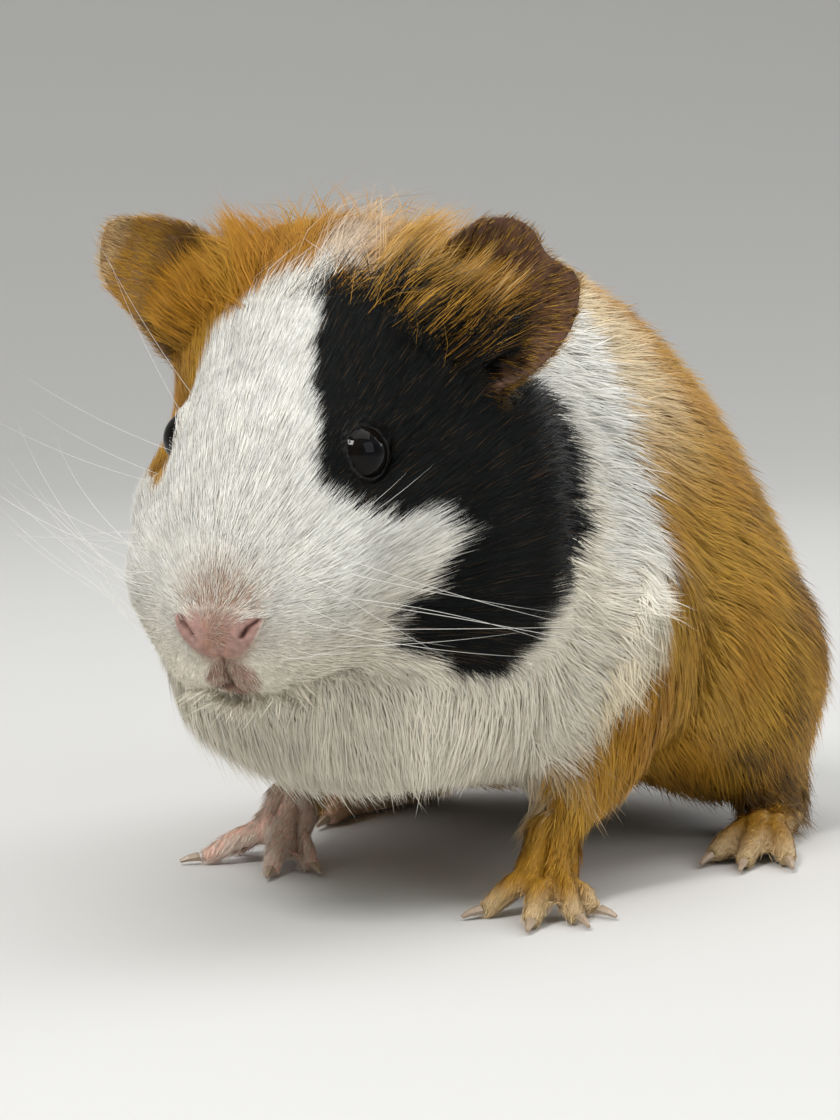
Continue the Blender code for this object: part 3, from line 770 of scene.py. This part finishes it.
def lieOfCoat():
    x, y, z = w.T
    fromNose = unit(skinPoints - fromHead((0, -34, -13))[0])
    outward = headTurnRows @ np.array((0.8, 0.75, 0.35))
    outward = np.where((h[:, 0] > 0)[:, None], outward, headTurnRows @ np.array((-1.0, 0.35, 0.15)))
    sideways = ramp(13, 24, h[:, 1]) * ramp(2, 10, np.abs(h[:, 0])) * ramp(-6, 4, h[:, 2])
    fromNose = unit(fromNose + (outward - fromNose) * (0.8 * sideways)[:, None])
    down = ramp(100, 60, z)
    rump = ramp(45, 85, y)
    body = unit(np.stack([0 * x, 1.0 - 0.75 * rump, -0.12 - 0.50 * down - 0.9 * rump], axis=1))
    front = ramp(-30, -50, y) * ramp(70, 50, z)
    chin = front * ramp(28, 36, z)
    collar = unit(np.stack([0 * x, 0.85 - 0.65 * front - 0.2 * chin, -0.35 - 0.65 * front], axis=1))
    ear = np.where((x > 0)[:, None], skinPoints - earRoot["left"], skinPoints - earRoot["right"])
    flows = {"head": fromNose, "neck": collar, "trunk": body, "ear": unit(ear)}
    for kind, heading in limbFlow.items():
        flows[kind] = unit(plain(heading, len(w)))
    total = sum(flows[k] * share[k][:, None] for k in kindNames)
    total = total - skinNormals * np.sum(total * skinNormals, axis=1)[:, None]
    return unit(total)


hairLength = {"neck": 13.0, "trunk": 15.0, "foreleg": 8.0, "hindleg": 12.0, "forefoot": 2.8, "hindfoot": 2.4}
headLength = np.interp(h[:, 1], (-34, -28, -18, -6, 8, 20, 26), (1.0, 2.4, 5.2, 7.2, 8.5, 10.5, 12.5))
fromEar = np.minimum(*(np.linalg.norm(skinPoints - earRoot[side], axis=1) for side in sides)) / mm
earLength = np.interp(fromEar, (5, 9, 14, 26), (3.5, 5.0, 3.4, 2.4))
fromEye = np.minimum(*(eyeDistance(skinPoints, side) for side in sides)) / mm
nearEye = np.interp(fromEye, (5.5, 7, 11), (0.40, 0.55, 1.0))
headLength = headLength * nearEye * (1 - 0.15 * thinLips)
turnNow = np.degrees(np.arctan2(np.abs(h[:, 0]), h[:, 2] + 8))
cheek = np.exp(-(((h[:, 1] + 6) / 9) ** 2) - ((turnNow - 98) / 26) ** 2)
jaw = ramp(-14, -19, h[:, 2]) * ramp(-25, -19, h[:, 1]) * share["head"]
headLength = headLength * (1 + 0.7 * cheek) * (1 + 0.2 * jaw)
lengths = sum(share[k] * hairLength[k] for k in hairLength if k != "ear")
underJaw = np.clip(4 * share["head"] * share["neck"], 0, 1) * ramp(-12, -18, h[:, 2])
lengths = (lengths + share["head"] * headLength + share["ear"] * earLength) * (1 - 0.55 * underJaw)
lie = lieOfCoat()
for _ in range(3):
    lie = unit(averaged(lie, skinEdges))
print("coat: lie settled")

skinTree = BVHTree.FromPolygons([Vector(p) for p in skinPoints], skinTriangles.tolist())
corners = skinPoints[skinTriangles]
areas = np.linalg.norm(np.cross(corners[:, 1] - corners[:, 0], corners[:, 2] - corners[:, 0]), axis=1) / 2
centres = corners.mean(axis=1)
triangleKind = np.array([name.split("_")[0] for name in fleshNodes])[label[skinTriangles[:, 0]]]
centresHead = inHead(centres)
onHead = triangleKind == "head"
onNeck, onTrunk = triangleKind == "neck", triangleKind == "trunk"
ahead = centresHead[:, 1]  # of the eyes, less than nothing towards the nose
cz = centres[:, 2] / mm
cx = centres[:, 0] / mm


def unwrapped(points, kind):  # where a root lies on an unwrap of the skin: a strip round each limb's own axis
    cells = {"head": (0, 0), "neck": (1, 0), "trunk": (2, 0), "ear": (0, 1), "foreleg": (1, 1),
             "hindleg": (2, 1), "forefoot": (0, 2), "hindfoot": (1, 2)}
    uv = np.zeros((len(points), 2))
    for name, (i, j) in cells.items():
        for sideNumber, chosen in enumerate((points[:, 0] >= 0, points[:, 0] < 0)):
            mask = (kind == name) & chosen
            if not mask.any():
                continue
            p = points[mask]
            if name == "head":
                q = inHead(p)
                across, along = np.arctan2(np.abs(q[:, 0]), q[:, 2] + 8) / math.pi, (q[:, 1] + 36) / 90
            elif name in ("neck", "trunk"):
                across = np.arctan2(np.abs(p[:, 0]), p[:, 2] - 0.06) / math.pi
                along = (p[:, 1] / mm + 75) / 60 if name == "neck" else (p[:, 1] / mm + 25) / 120
            else:
                middle = (p.min(0) + p.max(0)) / 2
                across = np.arctan2(p[:, 1] - middle[1], p[:, 0] - middle[0]) / (2 * math.pi) + 0.5
                along = (p[:, 2] - p[:, 2].min()) / max(1e-6, np.ptp(p[:, 2]))
            u = (i + 0.02 + 0.96 * (sideNumber + 0.02 + 0.96 * across) / 2) / 3
            v = (j + 0.03 + 0.94 * along) / 3
            uv[mask] = np.stack([u, v], axis=1)
    return np.clip(uv, 0.002, 0.998)


tuftShape = {
    "length": (0.75, 1.15),  # times the hair's own length, tuft by tuft
    "rise": (0.55, 1.15),  # times the lift
    "strand": (0.72, 1.08),  # times the tuft's length, strand by strand
    "thick": (0.7, 1.25),  # times the width
    "landing": 0.92,  # share of the length at which the tip meets the skin
    "stiff": 0.2, "jawStiff": 0.15,  # 1 keeps the tip straight out, 0 lays it on the skin
    "uneven": 0.18, "bendAt": 0.38,
    "colourAt": 0.6,  # how far along a hair its colour is read
    "clearOfFloor": 0.6,  # lowest root, millimetres
}


def growCoat(name, chosen, coat):
    weight = areas * chosen * coat.get("bare", 1.0)
    count = coat["tufts"]
    seeds = np.random.default_rng(coat["seed"])
    faces = seeds.choice(len(weight), count, p=weight / weight.sum())
    a, b = seeds.random((2, count))
    flip = a + b > 1
    a, b = np.where(flip, 1 - a, a), np.where(flip, 1 - b, b)
    mix = np.stack([1 - a - b, a, b], axis=1)

    def at(field):
        values = field[skinTriangles[faces]]
        if values.ndim == 3:
            return np.einsum("ij,ijk->ik", mix, values)
        return np.einsum("ij,ij->i", mix, values)

    root, normal, flow = at(skinPoints), unit(at(skinNormals)), at(lie)
    length, deep = at(lengths) * coat.get("longer", 1.0), at(coatDepth)
    hs, overJaw = at(headShare), at(jaw)
    fuzz = np.maximum(2.2 * ramp(-16, -13, at(h[:, 2])), 8.0 * ramp(-12.4, -10.5, at(h[:, 2])))
    onPad = (at(bareNose) > 0.3) & (np.abs(at(h[:, 0]) - nose["middle"]) < fuzz * seeds.random(count))
    sparse = np.maximum(0.5 * at(thinLips), 0.5 * at(aroundNose))
    keep = ((at(bareNose) < 0.3) | onPad) & (seeds.random(count) > sparse) & (at(creases) < 0.35)
    for side in sides:
        keep &= (lidAngle(root, side) > 2) | (eyeDistance(root, side) > eyeRadius + 3 * mm)
    keep &= root[:, 2] > tuftShape["clearOfFloor"] * mm
    kept = (root, normal, flow, length, deep, hs, overJaw)
    root, normal, flow, length, deep, hs, overJaw = (values[keep] for values in kept)
    kind = triangleKind[faces][keep]
    count = len(root)
    flow = unit(flow - normal * np.sum(flow * normal, axis=1)[:, None])
    across = np.cross(normal, flow)
    swirl = np.radians(coat["swirl"]) * (0.7 * cloud(root, 0.011, 1.7) + 0.5 * cloud(root, 0.004, 4.1))
    swirl = swirl + np.radians(coat["stray"]) * seeds.normal(0, 0.5, count)
    flow, across = (flow * np.cos(swirl)[:, None] + across * np.sin(swirl)[:, None],
                    across * np.cos(swirl)[:, None] - flow * np.sin(swirl)[:, None])
    length = length * seeds.uniform(*tuftShape["length"], count)

    # the tuft's tip is held just over the skin it lies on
    reach = root + flow * (length * tuftShape["landing"] * mm)[:, None]
    landed = np.empty((count, 3))
    landedNormal = np.empty((count, 3))
    for i, place in enumerate(reach):
        spot, spotNormal, _, _ = skinTree.find_nearest(place)
        landed[i] = spot
        landedNormal[i] = spotNormal
    lift = np.maximum(deep, 0.3) * coat["lift"] * seeds.uniform(*tuftShape["rise"], count)
    tip = landed + landedNormal * (lift * mm)[:, None]
    straight = reach + normal * (lift * mm)[:, None]
    stiff = coat.get("stiff", tuftShape["stiff"]) + tuftShape["jawStiff"] * overJaw
    tip = tip + (straight - tip) * stiff[:, None]

    strands = coat["strands"]
    n = count * strands
    spread = coat["spread"] * mm
    ring = seeds.normal(0, 0.5, (count, strands, 2)) * spread
    rootAll = root[:, None] + across[:, None] * ring[..., :1] + flow[:, None] * ring[..., 1:]
    tipRing = ring * coat["gather"] + seeds.normal(0, 0.5, (count, strands, 2)) * spread * coat["fray"]
    shorter = seeds.uniform(*tuftShape["strand"], (count, strands, 1))
    tipAll = tip[:, None] + across[:, None] * tipRing[..., :1] + flow[:, None] * tipRing[..., 1:] * 2.0
    tipAll = rootAll + (tipAll - rootAll) * shorter
    uneven = seeds.normal(0, coat.get("uneven", tuftShape["uneven"]), (count, strands, 1))
    tipAll = tipAll + normal[:, None] * uneven * (deep[:, None, None] * mm)

    rootAll, tipAll = rootAll.reshape(n, 3), tipAll.reshape(n, 3)
    for side in sides:  # hairs stop short of the open eye
        for _ in range(5):
            over = eyeDistance(tipAll, side) < eyeRadius + 4 * mm
            over[over] = lidAngle(tipAll[over], side) < 1
            tipAll[over] = rootAll[over] + (tipAll[over] - rootAll[over]) * 0.65
    lifted = np.repeat(normal * (lift[:, None] * mm * coat["belly"]), strands, axis=0)
    bendAll = rootAll + (tipAll - rootAll) * tuftShape["bendAt"] + lifted
    for side in sides:  # the bend and tip of a hair are moved clear of the eyeball
        for points in (bendAll, tipAll):
            away = points - np.array(eyeCentre[side])
            far = np.linalg.norm(away, axis=1)
            clear = eye["clearOfHair"] * eyeRadius
            near = far < clear
            points[near] += (away / far[:, None] * (clear - far)[:, None])[near]
    normalAll = np.repeat(normal, strands, axis=0)
    steps = np.array(coat["steps"])
    widths = np.interp(steps, (0, 0.35, 0.75, 1), (0.8, 1.0, 0.62, 0.0)) * coat["width"] * mm / 2
    roll = seeds.uniform(-1, 1, n) * math.radians(coat["roll"])
    thinner = np.repeat(np.interp(length, (1.2, 4.0), (0.62, 1.0)), strands)  # short hair is finer
    thick = seeds.uniform(*tuftShape["thick"], n) * thinner
    chance = seeds.random(n)
    if coat["paint"] == "ear":
        colour = earColours(rootAll, normalAll, chance)
    elif coat["paint"] == "paw":
        colour = pawColours(rootAll, chance)
    else:
        spots = rootAll + (tipAll - rootAll) * tuftShape["colourAt"]
        colour = coatColours(spots, np.repeat(hs, strands), chance)
    softness = (coat["soft"] * (0.2 + 0.8 * ramp(0.02, 0.3, colour[:, 1])))[:, None]
    points, facing = [], []
    for t, half in zip(steps, widths):
        spine = rootAll * (1 - t) ** 2 + bendAll * 2 * t * (1 - t) + tipAll * t**2
        heading = unit((bendAll - rootAll) * (1 - t) + (tipAll - bendAll) * t)
        wide = unit(np.cross(normalAll, heading))
        up = np.cross(heading, wide)
        turned = wide * np.cos(roll)[:, None] + up * np.sin(roll)[:, None]
        flat = up * np.cos(roll)[:, None] - wide * np.sin(roll)[:, None]
        soft = unit(normalAll * softness + flat * (1 - softness))
        offset = turned * (half * thick)[:, None]
        points.append(spine[:, None] if half == 0 else np.stack([spine - offset, spine + offset], axis=1))
        facing.append(np.repeat(soft[:, None], 1 if half == 0 else 2, axis=1))
    points, facing = np.concatenate(points, axis=1), np.concatenate(facing, axis=1)
    per = points.shape[1]
    pattern = []
    for step in range(len(steps) - 2):
        i = 2 * step
        pattern += [(i, i + 1, i + 3), (i, i + 3, i + 2)]
    pattern.append((per - 3, per - 2, per - 1))
    faces = (np.array(pattern)[None] + (np.arange(n) * per)[:, None, None]).reshape(-1, 3)
    points, facing = points.reshape(-1, 3), facing.reshape(-1, 3)
    a, b, c = (points[faces[:, i]] for i in range(3))
    if np.sum(np.cross(b - a, c - a) * facing[faces[:, 0]]) < 0:
        faces = faces[:, ::-1]
    points[:, 2] = np.maximum(points[:, 2], 0.0)

    shade = seeds.normal(1.0, coat["contrast"], (n, 1))
    warm = seeds.normal(0, 0.015, (n, 1)) * np.array((1.0, 0.0, -1.0))
    colour = np.clip(colour * np.clip(shade, 0.6, 1.4) * (1 + warm), 0.002, 0.95)
    along = np.repeat(steps, [2] * (len(steps) - 1) + [1])
    # painted shade: each hair is darker towards its root, where the coat around it shades it, and a little
    # lighter at its tip
    shadeAlongHair = np.interp(along, (0, 0.5, 1), coat["shadeAlongHair"])
    shadeAlongHair = shadeAlongHair[:, None] ** np.array((1.0, 1.15, 1.45))  # the painted shade at the roots is also warmer
    colours = np.clip(colour[:, None] * shadeAlongHair[None], 0.002, 0.95).reshape(-1, 3)

    mesh = meshOf(name, points, faces, 3)
    mesh.normals_split_custom_set_from_vertices(facing)
    setColours(mesh, "coatColour", colours)
    patch = unwrapped(rootAll, np.repeat(kind, strands))
    cross = np.concatenate([np.tile((-0.0015, 0.0015), len(steps) - 1), [0.0]])
    spot = np.stack([cross, (along - 0.5) * 0.003], axis=1)
    uv = (patch[:, None] + spot[None]).reshape(-1, 2)
    layer = mesh.uv_layers.new(name="OFBake")
    layer.data.foreach_set("uv", uv[faces.ravel()].astype(np.float32).ravel())
    print("coat:", name, count, "tufts", len(faces), "triangles")
    addPiece(name, mesh, coatFinish)


faceTurns = np.cross(corners[:, 1] - corners[:, 0], corners[:, 2] - corners[:, 0]) @ headTurnRows
towardsFront = -faceTurns[:, 1] / np.maximum(np.linalg.norm(faceTurns, axis=1), 1e-12)
nearNose = 1 + 0.8 * ramp(13, 6, np.linalg.norm(centresHead - (nose["middle"], -30, -9), axis=1))
earBare = np.where(towardsFront > 0.3, np.where(cx > 0, 0.35, 0.8), 1.0)
# each coat's three factors along a hair, root, middle and tip, paint shade at the roots
short = {"strands": 3, "spread": 0.8, "gather": 0.9, "fray": 0.5, "width": 0.12, "roll": 25, "swirl": 8,
         "stray": 7, "steps": (0, 0.5, 1), "lift": 0.55, "belly": 0.5, "slot": "white_coat", "soft": 0.8,
         "contrast": 0.13, "shadeAlongHair": (0.74, 1.0, 1.07), "paint": "coat"}
long = {"strands": 7, "spread": 1.4, "gather": 0.65, "fray": 0.8, "width": 0.22, "roll": 24, "swirl": 14,
        "stray": 10, "steps": (0, 0.45, 1), "lift": 0.75, "belly": 0.7, "slot": "ginger_coat", "soft": 0.75,
        "contrast": 0.09, "shadeAlongHair": (0.78, 1.0, 1.08), "paint": "coat"}
neckLike = dict(long, slot="white_coat", shadeAlongHair=(0.94, 1.0, 1.03), contrast=0.05, soft=0.96, gather=0.95,
                strands=8, lift=0.45, roll=16, spread=1.7, uneven=0.10)
coats = {
    "coat_muzzle": (onHead & (ahead < -9),
                    dict(short, tufts=15500, seed=11, width=0.11, spread=0.7, bare=nearNose)),
    "coat_face_left": (onHead & (ahead >= -9) & (ahead < 14) & (centresHead[:, 0] > 0),
                       dict(short, tufts=16500, seed=12)),
    "coat_face_right": (onHead & (ahead >= -9) & (ahead < 14) & (centresHead[:, 0] <= 0),
                        dict(short, tufts=11500, seed=24)),
    "coat_crown": (onHead & (ahead >= 14),
                   dict(long, tufts=10500, seed=13, strands=5, width=0.14, spread=0.9, stiff=0.45)),
    "coat_ear_fringe": (
        onHead & (ahead > 18) & (ahead < 28) & (np.abs(centresHead[:, 0]) > 9)
        & (centresHead[:, 2] > 4),
        dict(long, tufts=1200, seed=25, strands=6, width=0.12, spread=1.0, longer=1.1, stiff=0.8, lift=4.2,
             stray=16, belly=0.5),
    ),
    "coat_collar": (onNeck & (cz >= 52), dict(neckLike, tufts=5400, seed=14)),
    "coat_chest": (onNeck & (cz < 52), dict(neckLike, tufts=7300, seed=15)),
    "coat_back": (onTrunk & (cz >= 76), dict(long, tufts=6000, seed=16)),
    "coat_flank_left": (onTrunk & (cz < 76) & (cx >= 0), dict(long, tufts=4900, seed=17)),
    "coat_flank_right": (onTrunk & (cz < 76) & (cx < 0), dict(long, tufts=4400, seed=18)),
    "coat_forelegs": (triangleKind == "foreleg",
                      dict(long, tufts=4400, seed=19, strands=6, width=0.18, spread=0.9)),
    "coat_hindlegs": (triangleKind == "hindleg", dict(long, tufts=5200, seed=20)),
    "coat_paws": (
        (triangleKind == "forefoot") | (triangleKind == "hindfoot"),
        dict(short, tufts=11500, seed=21, width=0.13, paint="paw", contrast=0.12, slot="ginger_coat",
             lift=0.8),
    ),
    "coat_ears": (
        triangleKind == "ear",
        dict(short, tufts=5200, seed=22, width=0.09, paint="ear", contrast=0.15, slot="ginger_coat", lift=1.3,
             bare=earBare),
    ),
    "coat_wisps": (
        (onHead & (ahead > 14) & (centresHead[:, 2] > 6)) * 1.0,
        dict(long, tufts=420, seed=23, strands=3, width=0.10, spread=1.2, longer=1.35, stiff=0.9, lift=2.6,
             stray=70, swirl=40, belly=0.9),
    ),
}
creases = creaseShade(h)
for name, (chosen, coat) in coats.items():
    growCoat(name, chosen, coat)

whiskers = {  # millimetres; the root area is a box on the cheek, in the head's frame
    "perSide": {"left": 12, "right": 26}, "long": 54.0, "radius": 0.047, "browRadius": 0.035,
    "rise": {"left": -0.30, "right": 0.22}, "rootArea": ((6.5, 15.0), (-27.0, -15.0), (-19.0, -8.0)),
    "points": 14,  # along each hair
}


def taperedLines():  # a node tree that turns lines into round hairs, thinner to the tip
    tree = bpy.data.node_groups.new("taperedLines", "GeometryNodeTree")
    tree.interface.new_socket("Geometry", in_out="INPUT", socket_type="NodeSocketGeometry")
    sockets = {}
    for name, kind in (("Radius", "Float"), ("Sides", "Int"), ("Finish", "Material")):
        socket = tree.interface.new_socket(name, in_out="INPUT", socket_type="NodeSocket" + kind)
        sockets[name] = socket.identifier
    tree.interface.new_socket("Geometry", in_out="OUTPUT", socket_type="NodeSocketGeometry")
    given, out = tree.nodes.new("NodeGroupInput"), tree.nodes.new("NodeGroupOutput")
    curve, along, circle, sweep, smooth, real, finish = (
        tree.nodes.new("GeometryNode" + kind) for kind in
        ("MeshToCurve", "SplineParameter", "CurvePrimitiveCircle", "CurveToMesh", "SetShadeSmooth",
         "RealizeInstances", "SetMaterial"))
    power, taper = addNode(tree, "ShaderNodeMath", "POWER"), addNode(tree, "ShaderNodeMath", "MULTIPLY_ADD")
    power.inputs[1].default_value = 1.6
    taper.inputs[1].default_value, taper.inputs[2].default_value = -0.93, 1.0
    sweep.inputs["Fill Caps"].default_value = True
    join(tree, (given, "Geometry", curve, "Mesh"), (along, "Factor", power, 0), (power, 0, taper, 0),
         (given, "Radius", circle, "Radius"), (given, "Sides", circle, "Resolution"),
         (curve, "Curve", sweep, "Curve"), (circle, "Curve", sweep, "Profile Curve"),
         (taper, 0, sweep, "Scale"),
         (sweep, "Mesh", smooth, "Geometry"), (smooth, "Geometry", real, "Geometry"),
         (real, "Geometry", finish, "Geometry"), (given, "Finish", finish, "Material"),
         (finish, "Geometry", out, "Geometry"))
    return tree, sockets


hairTree, hairSockets = taperedLines()


def hairsAlong(name, lines, radius, sidesRound, material):  # lines: hairs x points x 3, in metres
    hairs, steps = lines.shape[:2]
    mesh = bpy.data.meshes.new(name)
    pairs = [(i * steps + j, i * steps + j + 1) for i in range(hairs) for j in range(steps - 1)]
    mesh.from_pydata(lines.reshape(-1, 3).tolist(), pairs, [])
    holder = linked("holder", mesh)
    modifier = holder.modifiers.new("hairs", "NODES")
    modifier.node_group = hairTree
    modifier[hairSockets["Radius"]] = radius
    modifier[hairSockets["Sides"]] = sidesRound
    modifier[hairSockets["Finish"]] = material
    made = finished(holder)
    made.name = name
    each = len(made.vertices) // hairs
    spot = unwrapped(lines[:, 0], np.full(hairs, "head"))
    offset = np.stack([np.zeros(each), np.linspace(-0.0015, 0.0015, each)], axis=1)
    uv = (spot[:, None] + offset[None]).reshape(-1, 2)
    corner = np.empty(len(made.loops), np.int32)
    made.loops.foreach_get("vertex_index", corner)
    made.uv_layers.new(name="OFBake").data.foreach_set("uv", uv[corner].astype(np.float32).ravel())
    return made


def whiskerLines():
    seeds = np.random.default_rng(31)
    lines = []
    for side, sign in sides.items():
        for number in range(whiskers["perSide"][side]):
            share = (number + 0.5) / whiskers["perSide"][side]
            row = number % 5
            (x0, x1), (y0, y1), (z0, z1) = whiskers["rootArea"]
            up = (row + seeds.uniform(-0.3, 0.3)) / 4
            place = (sign * (x0 + (x1 - x0) * share), y0 + (y1 - y0) * share, z0 + (z1 - z0) * up)
            root, normal, _, _ = skinTree.find_nearest(Vector(fromHead(place)[0]))
            length = whiskers["long"] * (0.35 + 0.65 * share) * seeds.uniform(0.75, 1.05)
            rise = whiskers["rise"][side] + (1.6 - row) * (0.20 if sign > 0 else 0.30) + seeds.normal(0, 0.12)
            heading = headTurnRows @ np.array((sign * 0.88, 0.38 + 0.25 * seeds.normal(0, 0.5), rise))
            heading = unit(unit(heading) + 0.25 * np.array(normal))
            bend = headTurnRows @ np.array((-sign * 0.25, 0.55, -0.35 + 0.25 * seeds.normal()))
            t = np.linspace(0, 1, whiskers["points"])[:, None]
            sunk = np.array(root) - np.array(normal) * 0.6 * mm
            line = sunk + (heading * t + bend * t**2 * 0.42) * length * mm
            for i in range(2, len(t)):  # the hairs rest on the cheek rather than enter it
                spot, out, _, _ = skinTree.find_nearest(Vector(line[i]))
                inside = (Vector(line[i]) - spot).dot(out)
                clear = (1.6 + 0.25 * i) * mm
                if inside < clear:
                    line[i] = line[i] + np.array(out) * (clear - inside)
            line[2:-1] = (line[1:-2] + line[2:-1] * 2 + line[3:]) / 4
            lines.append(line)
    return np.array(lines)


brows = {  # where each stands in the head's frame, how long, which way
    "left": (((19, -9, -3), 8, (0.5, 0.7, 0.2)), ((20, -8, -4), 11, (0.6, 0.8, 0.1))),
    "right": (((-16, -2, 8), 26, (-0.75, 0.3, 0.9)), ((-17, 2, 8), 32, (-0.5, 0.2, 1.0)),
              ((-18, -8, 2), 28, (-1.0, 0.1, 0.35)), ((-18, -9, 0), 24, (-1.0, 0.0, 0.12)),
              ((-18, -10, -2), 30, (-1.0, -0.05, 0.05))),
}


def browLines():
    seeds = np.random.default_rng(33)
    lines = []
    for side in sides:
        for place, length, heading in brows[side]:
            root, normal, _, _ = skinTree.find_nearest(Vector(fromHead(place)[0]))
            heading = headTurnRows @ np.array(heading) + 0.3 * np.array(normal) + 0.08 * seeds.normal(size=3)
            heading = unit(heading)
            bend = headTurnRows @ np.array((0.0, 0.35, 0.15))
            t = np.linspace(0, 1, whiskers["points"])[:, None]
            lines.append(np.array(root) + (heading * t + bend * t**2 * 0.4) * length * mm)
    return np.array(lines)


whiskerFinish = speckled("whisker", 300.0, (0.70, 0.68, 0.62), (0.92, 0.91, 0.88), 0.35)
for name, lines, radius, sidesRound in (("whiskers", whiskerLines(), whiskers["radius"], 5),
                                        ("brow_hairs", browLines(), whiskers["browRadius"], 4)):
    mesh = hairsAlong(name, lines, radius * mm, sidesRound, whiskerFinish)
    addPiece(name, mesh, whiskerFinish)

studio = {  # metres and watts; each light: place, aim, size, power, colour
    "flat": 1.1, "bend": 1.6, "floorColour": (0.66, 0.66, 0.65), "sky": (0.93, 0.925, 0.91),
    "skyStrength": 0.45,
    "lights": {
        "key": ((-0.02, -0.98, 1.05), (0, -0.03, 0.06), (0.26, 0.38), 10.8, (1.0, 0.985, 0.96)),
        "top": ((0.1, 0.1, 1.3), (0, 0, 0.05), (1.2, 1.2), 7.5, (1, 1, 1)),
        "fill": ((1.2, -0.3, 0.7), (0, 0, 0.06), (0.9, 0.9), 3.6, (0.97, 0.99, 1.0)),
        "rim": ((0.6, 1.1, 0.8), (0, 0.02, 0.06), (0.7, 0.7), 5.0, (1, 1, 1)),
    },
}


def makeFloor():  # flat under the animal, sweeping up far behind it on every side
    profile = [(studio["flat"] * t, 0.0) for t in (0.25, 0.6, 1.0)]
    around, steps = 96, 12
    for step in range(1, steps + 1):
        turn = math.pi / 2 * step / steps
        out, up = studio["bend"] * math.sin(turn), studio["bend"] * (1 - math.cos(turn))
        profile.append((studio["flat"] + out, up))
    bm = bmesh.new()
    middle = bm.verts.new((0, 0, 0))
    rings = []
    for radius, height in profile:
        turns = np.linspace(0, 2 * math.pi, around + 1)[:-1]
        rings.append([bm.verts.new((radius * math.cos(a), radius * math.sin(a), height)) for a in turns])
    for i in range(around):
        after = (i + 1) % around
        bm.faces.new((middle, rings[0][i], rings[0][after]))
        for near, far in zip(rings, rings[1:]):
            bm.faces.new((near[i], far[i], far[after], near[after]))
    mesh = meshOfBm("floor", bm)
    mesh.polygons.foreach_set("use_smooth", np.ones(len(mesh.polygons), bool))
    floor = linked("floor", mesh)
    floor.location.z = -0.0002
    material, nodes, _ = newMaterial("floor")
    shader = nodes["Principled BSDF"]
    shader.inputs["Base Color"].default_value = (*studio["floorColour"], 1)
    shader.inputs["Roughness"].default_value = 0.85
    shader.inputs["Specular IOR Level"].default_value = 0.2
    mesh.materials.append(material)


def softbox(name, place, aim, size, power, colour):
    light = bpy.data.lights.new(name, "AREA")
    light.shape = "RECTANGLE"
    light.size, light.size_y = size
    light.energy = power
    light.color = colour
    lamp = linked(name, light)
    lamp.location = place
    lamp.rotation_euler = (Vector(aim) - Vector(place)).to_track_quat("-Z", "Y").to_euler()


makeFloor()
for name, values in studio["lights"].items():
    softbox(name, *values)
world = bpy.data.worlds.new("studio")
world.use_nodes = True
background = world.node_tree.nodes["Background"]
background.inputs["Color"].default_value = (*studio["sky"], 1)
background.inputs["Strength"].default_value = studio["skyStrength"]
bpy.context.scene.world = world

view = {"azimuth": 28.0, "elevation": 5.0, "distance": 0.450, "target": (0.020, -0.0564, 0.060),
        "lens": 91.125}  # degrees, metres, millimetres
turnAngle, rise = math.radians(view["azimuth"]), math.radians(view["elevation"])
back = Vector((math.sin(turnAngle) * math.cos(rise), -math.cos(turnAngle) * math.cos(rise), math.sin(rise)))
camera = linked("camera", bpy.data.cameras.new("camera"))
camera.location = Vector(view["target"]) + back * view["distance"]
camera.rotation_euler = back.to_track_quat("Z", "Y").to_euler()
camera.data.lens = view["lens"]
camera.data.sensor_fit = "VERTICAL"
camera.data.sensor_height = 36.0
camera.data.clip_start = 0.01
bpy.context.scene.camera = camera
bpy.context.scene.view_settings.view_transform = "Standard"
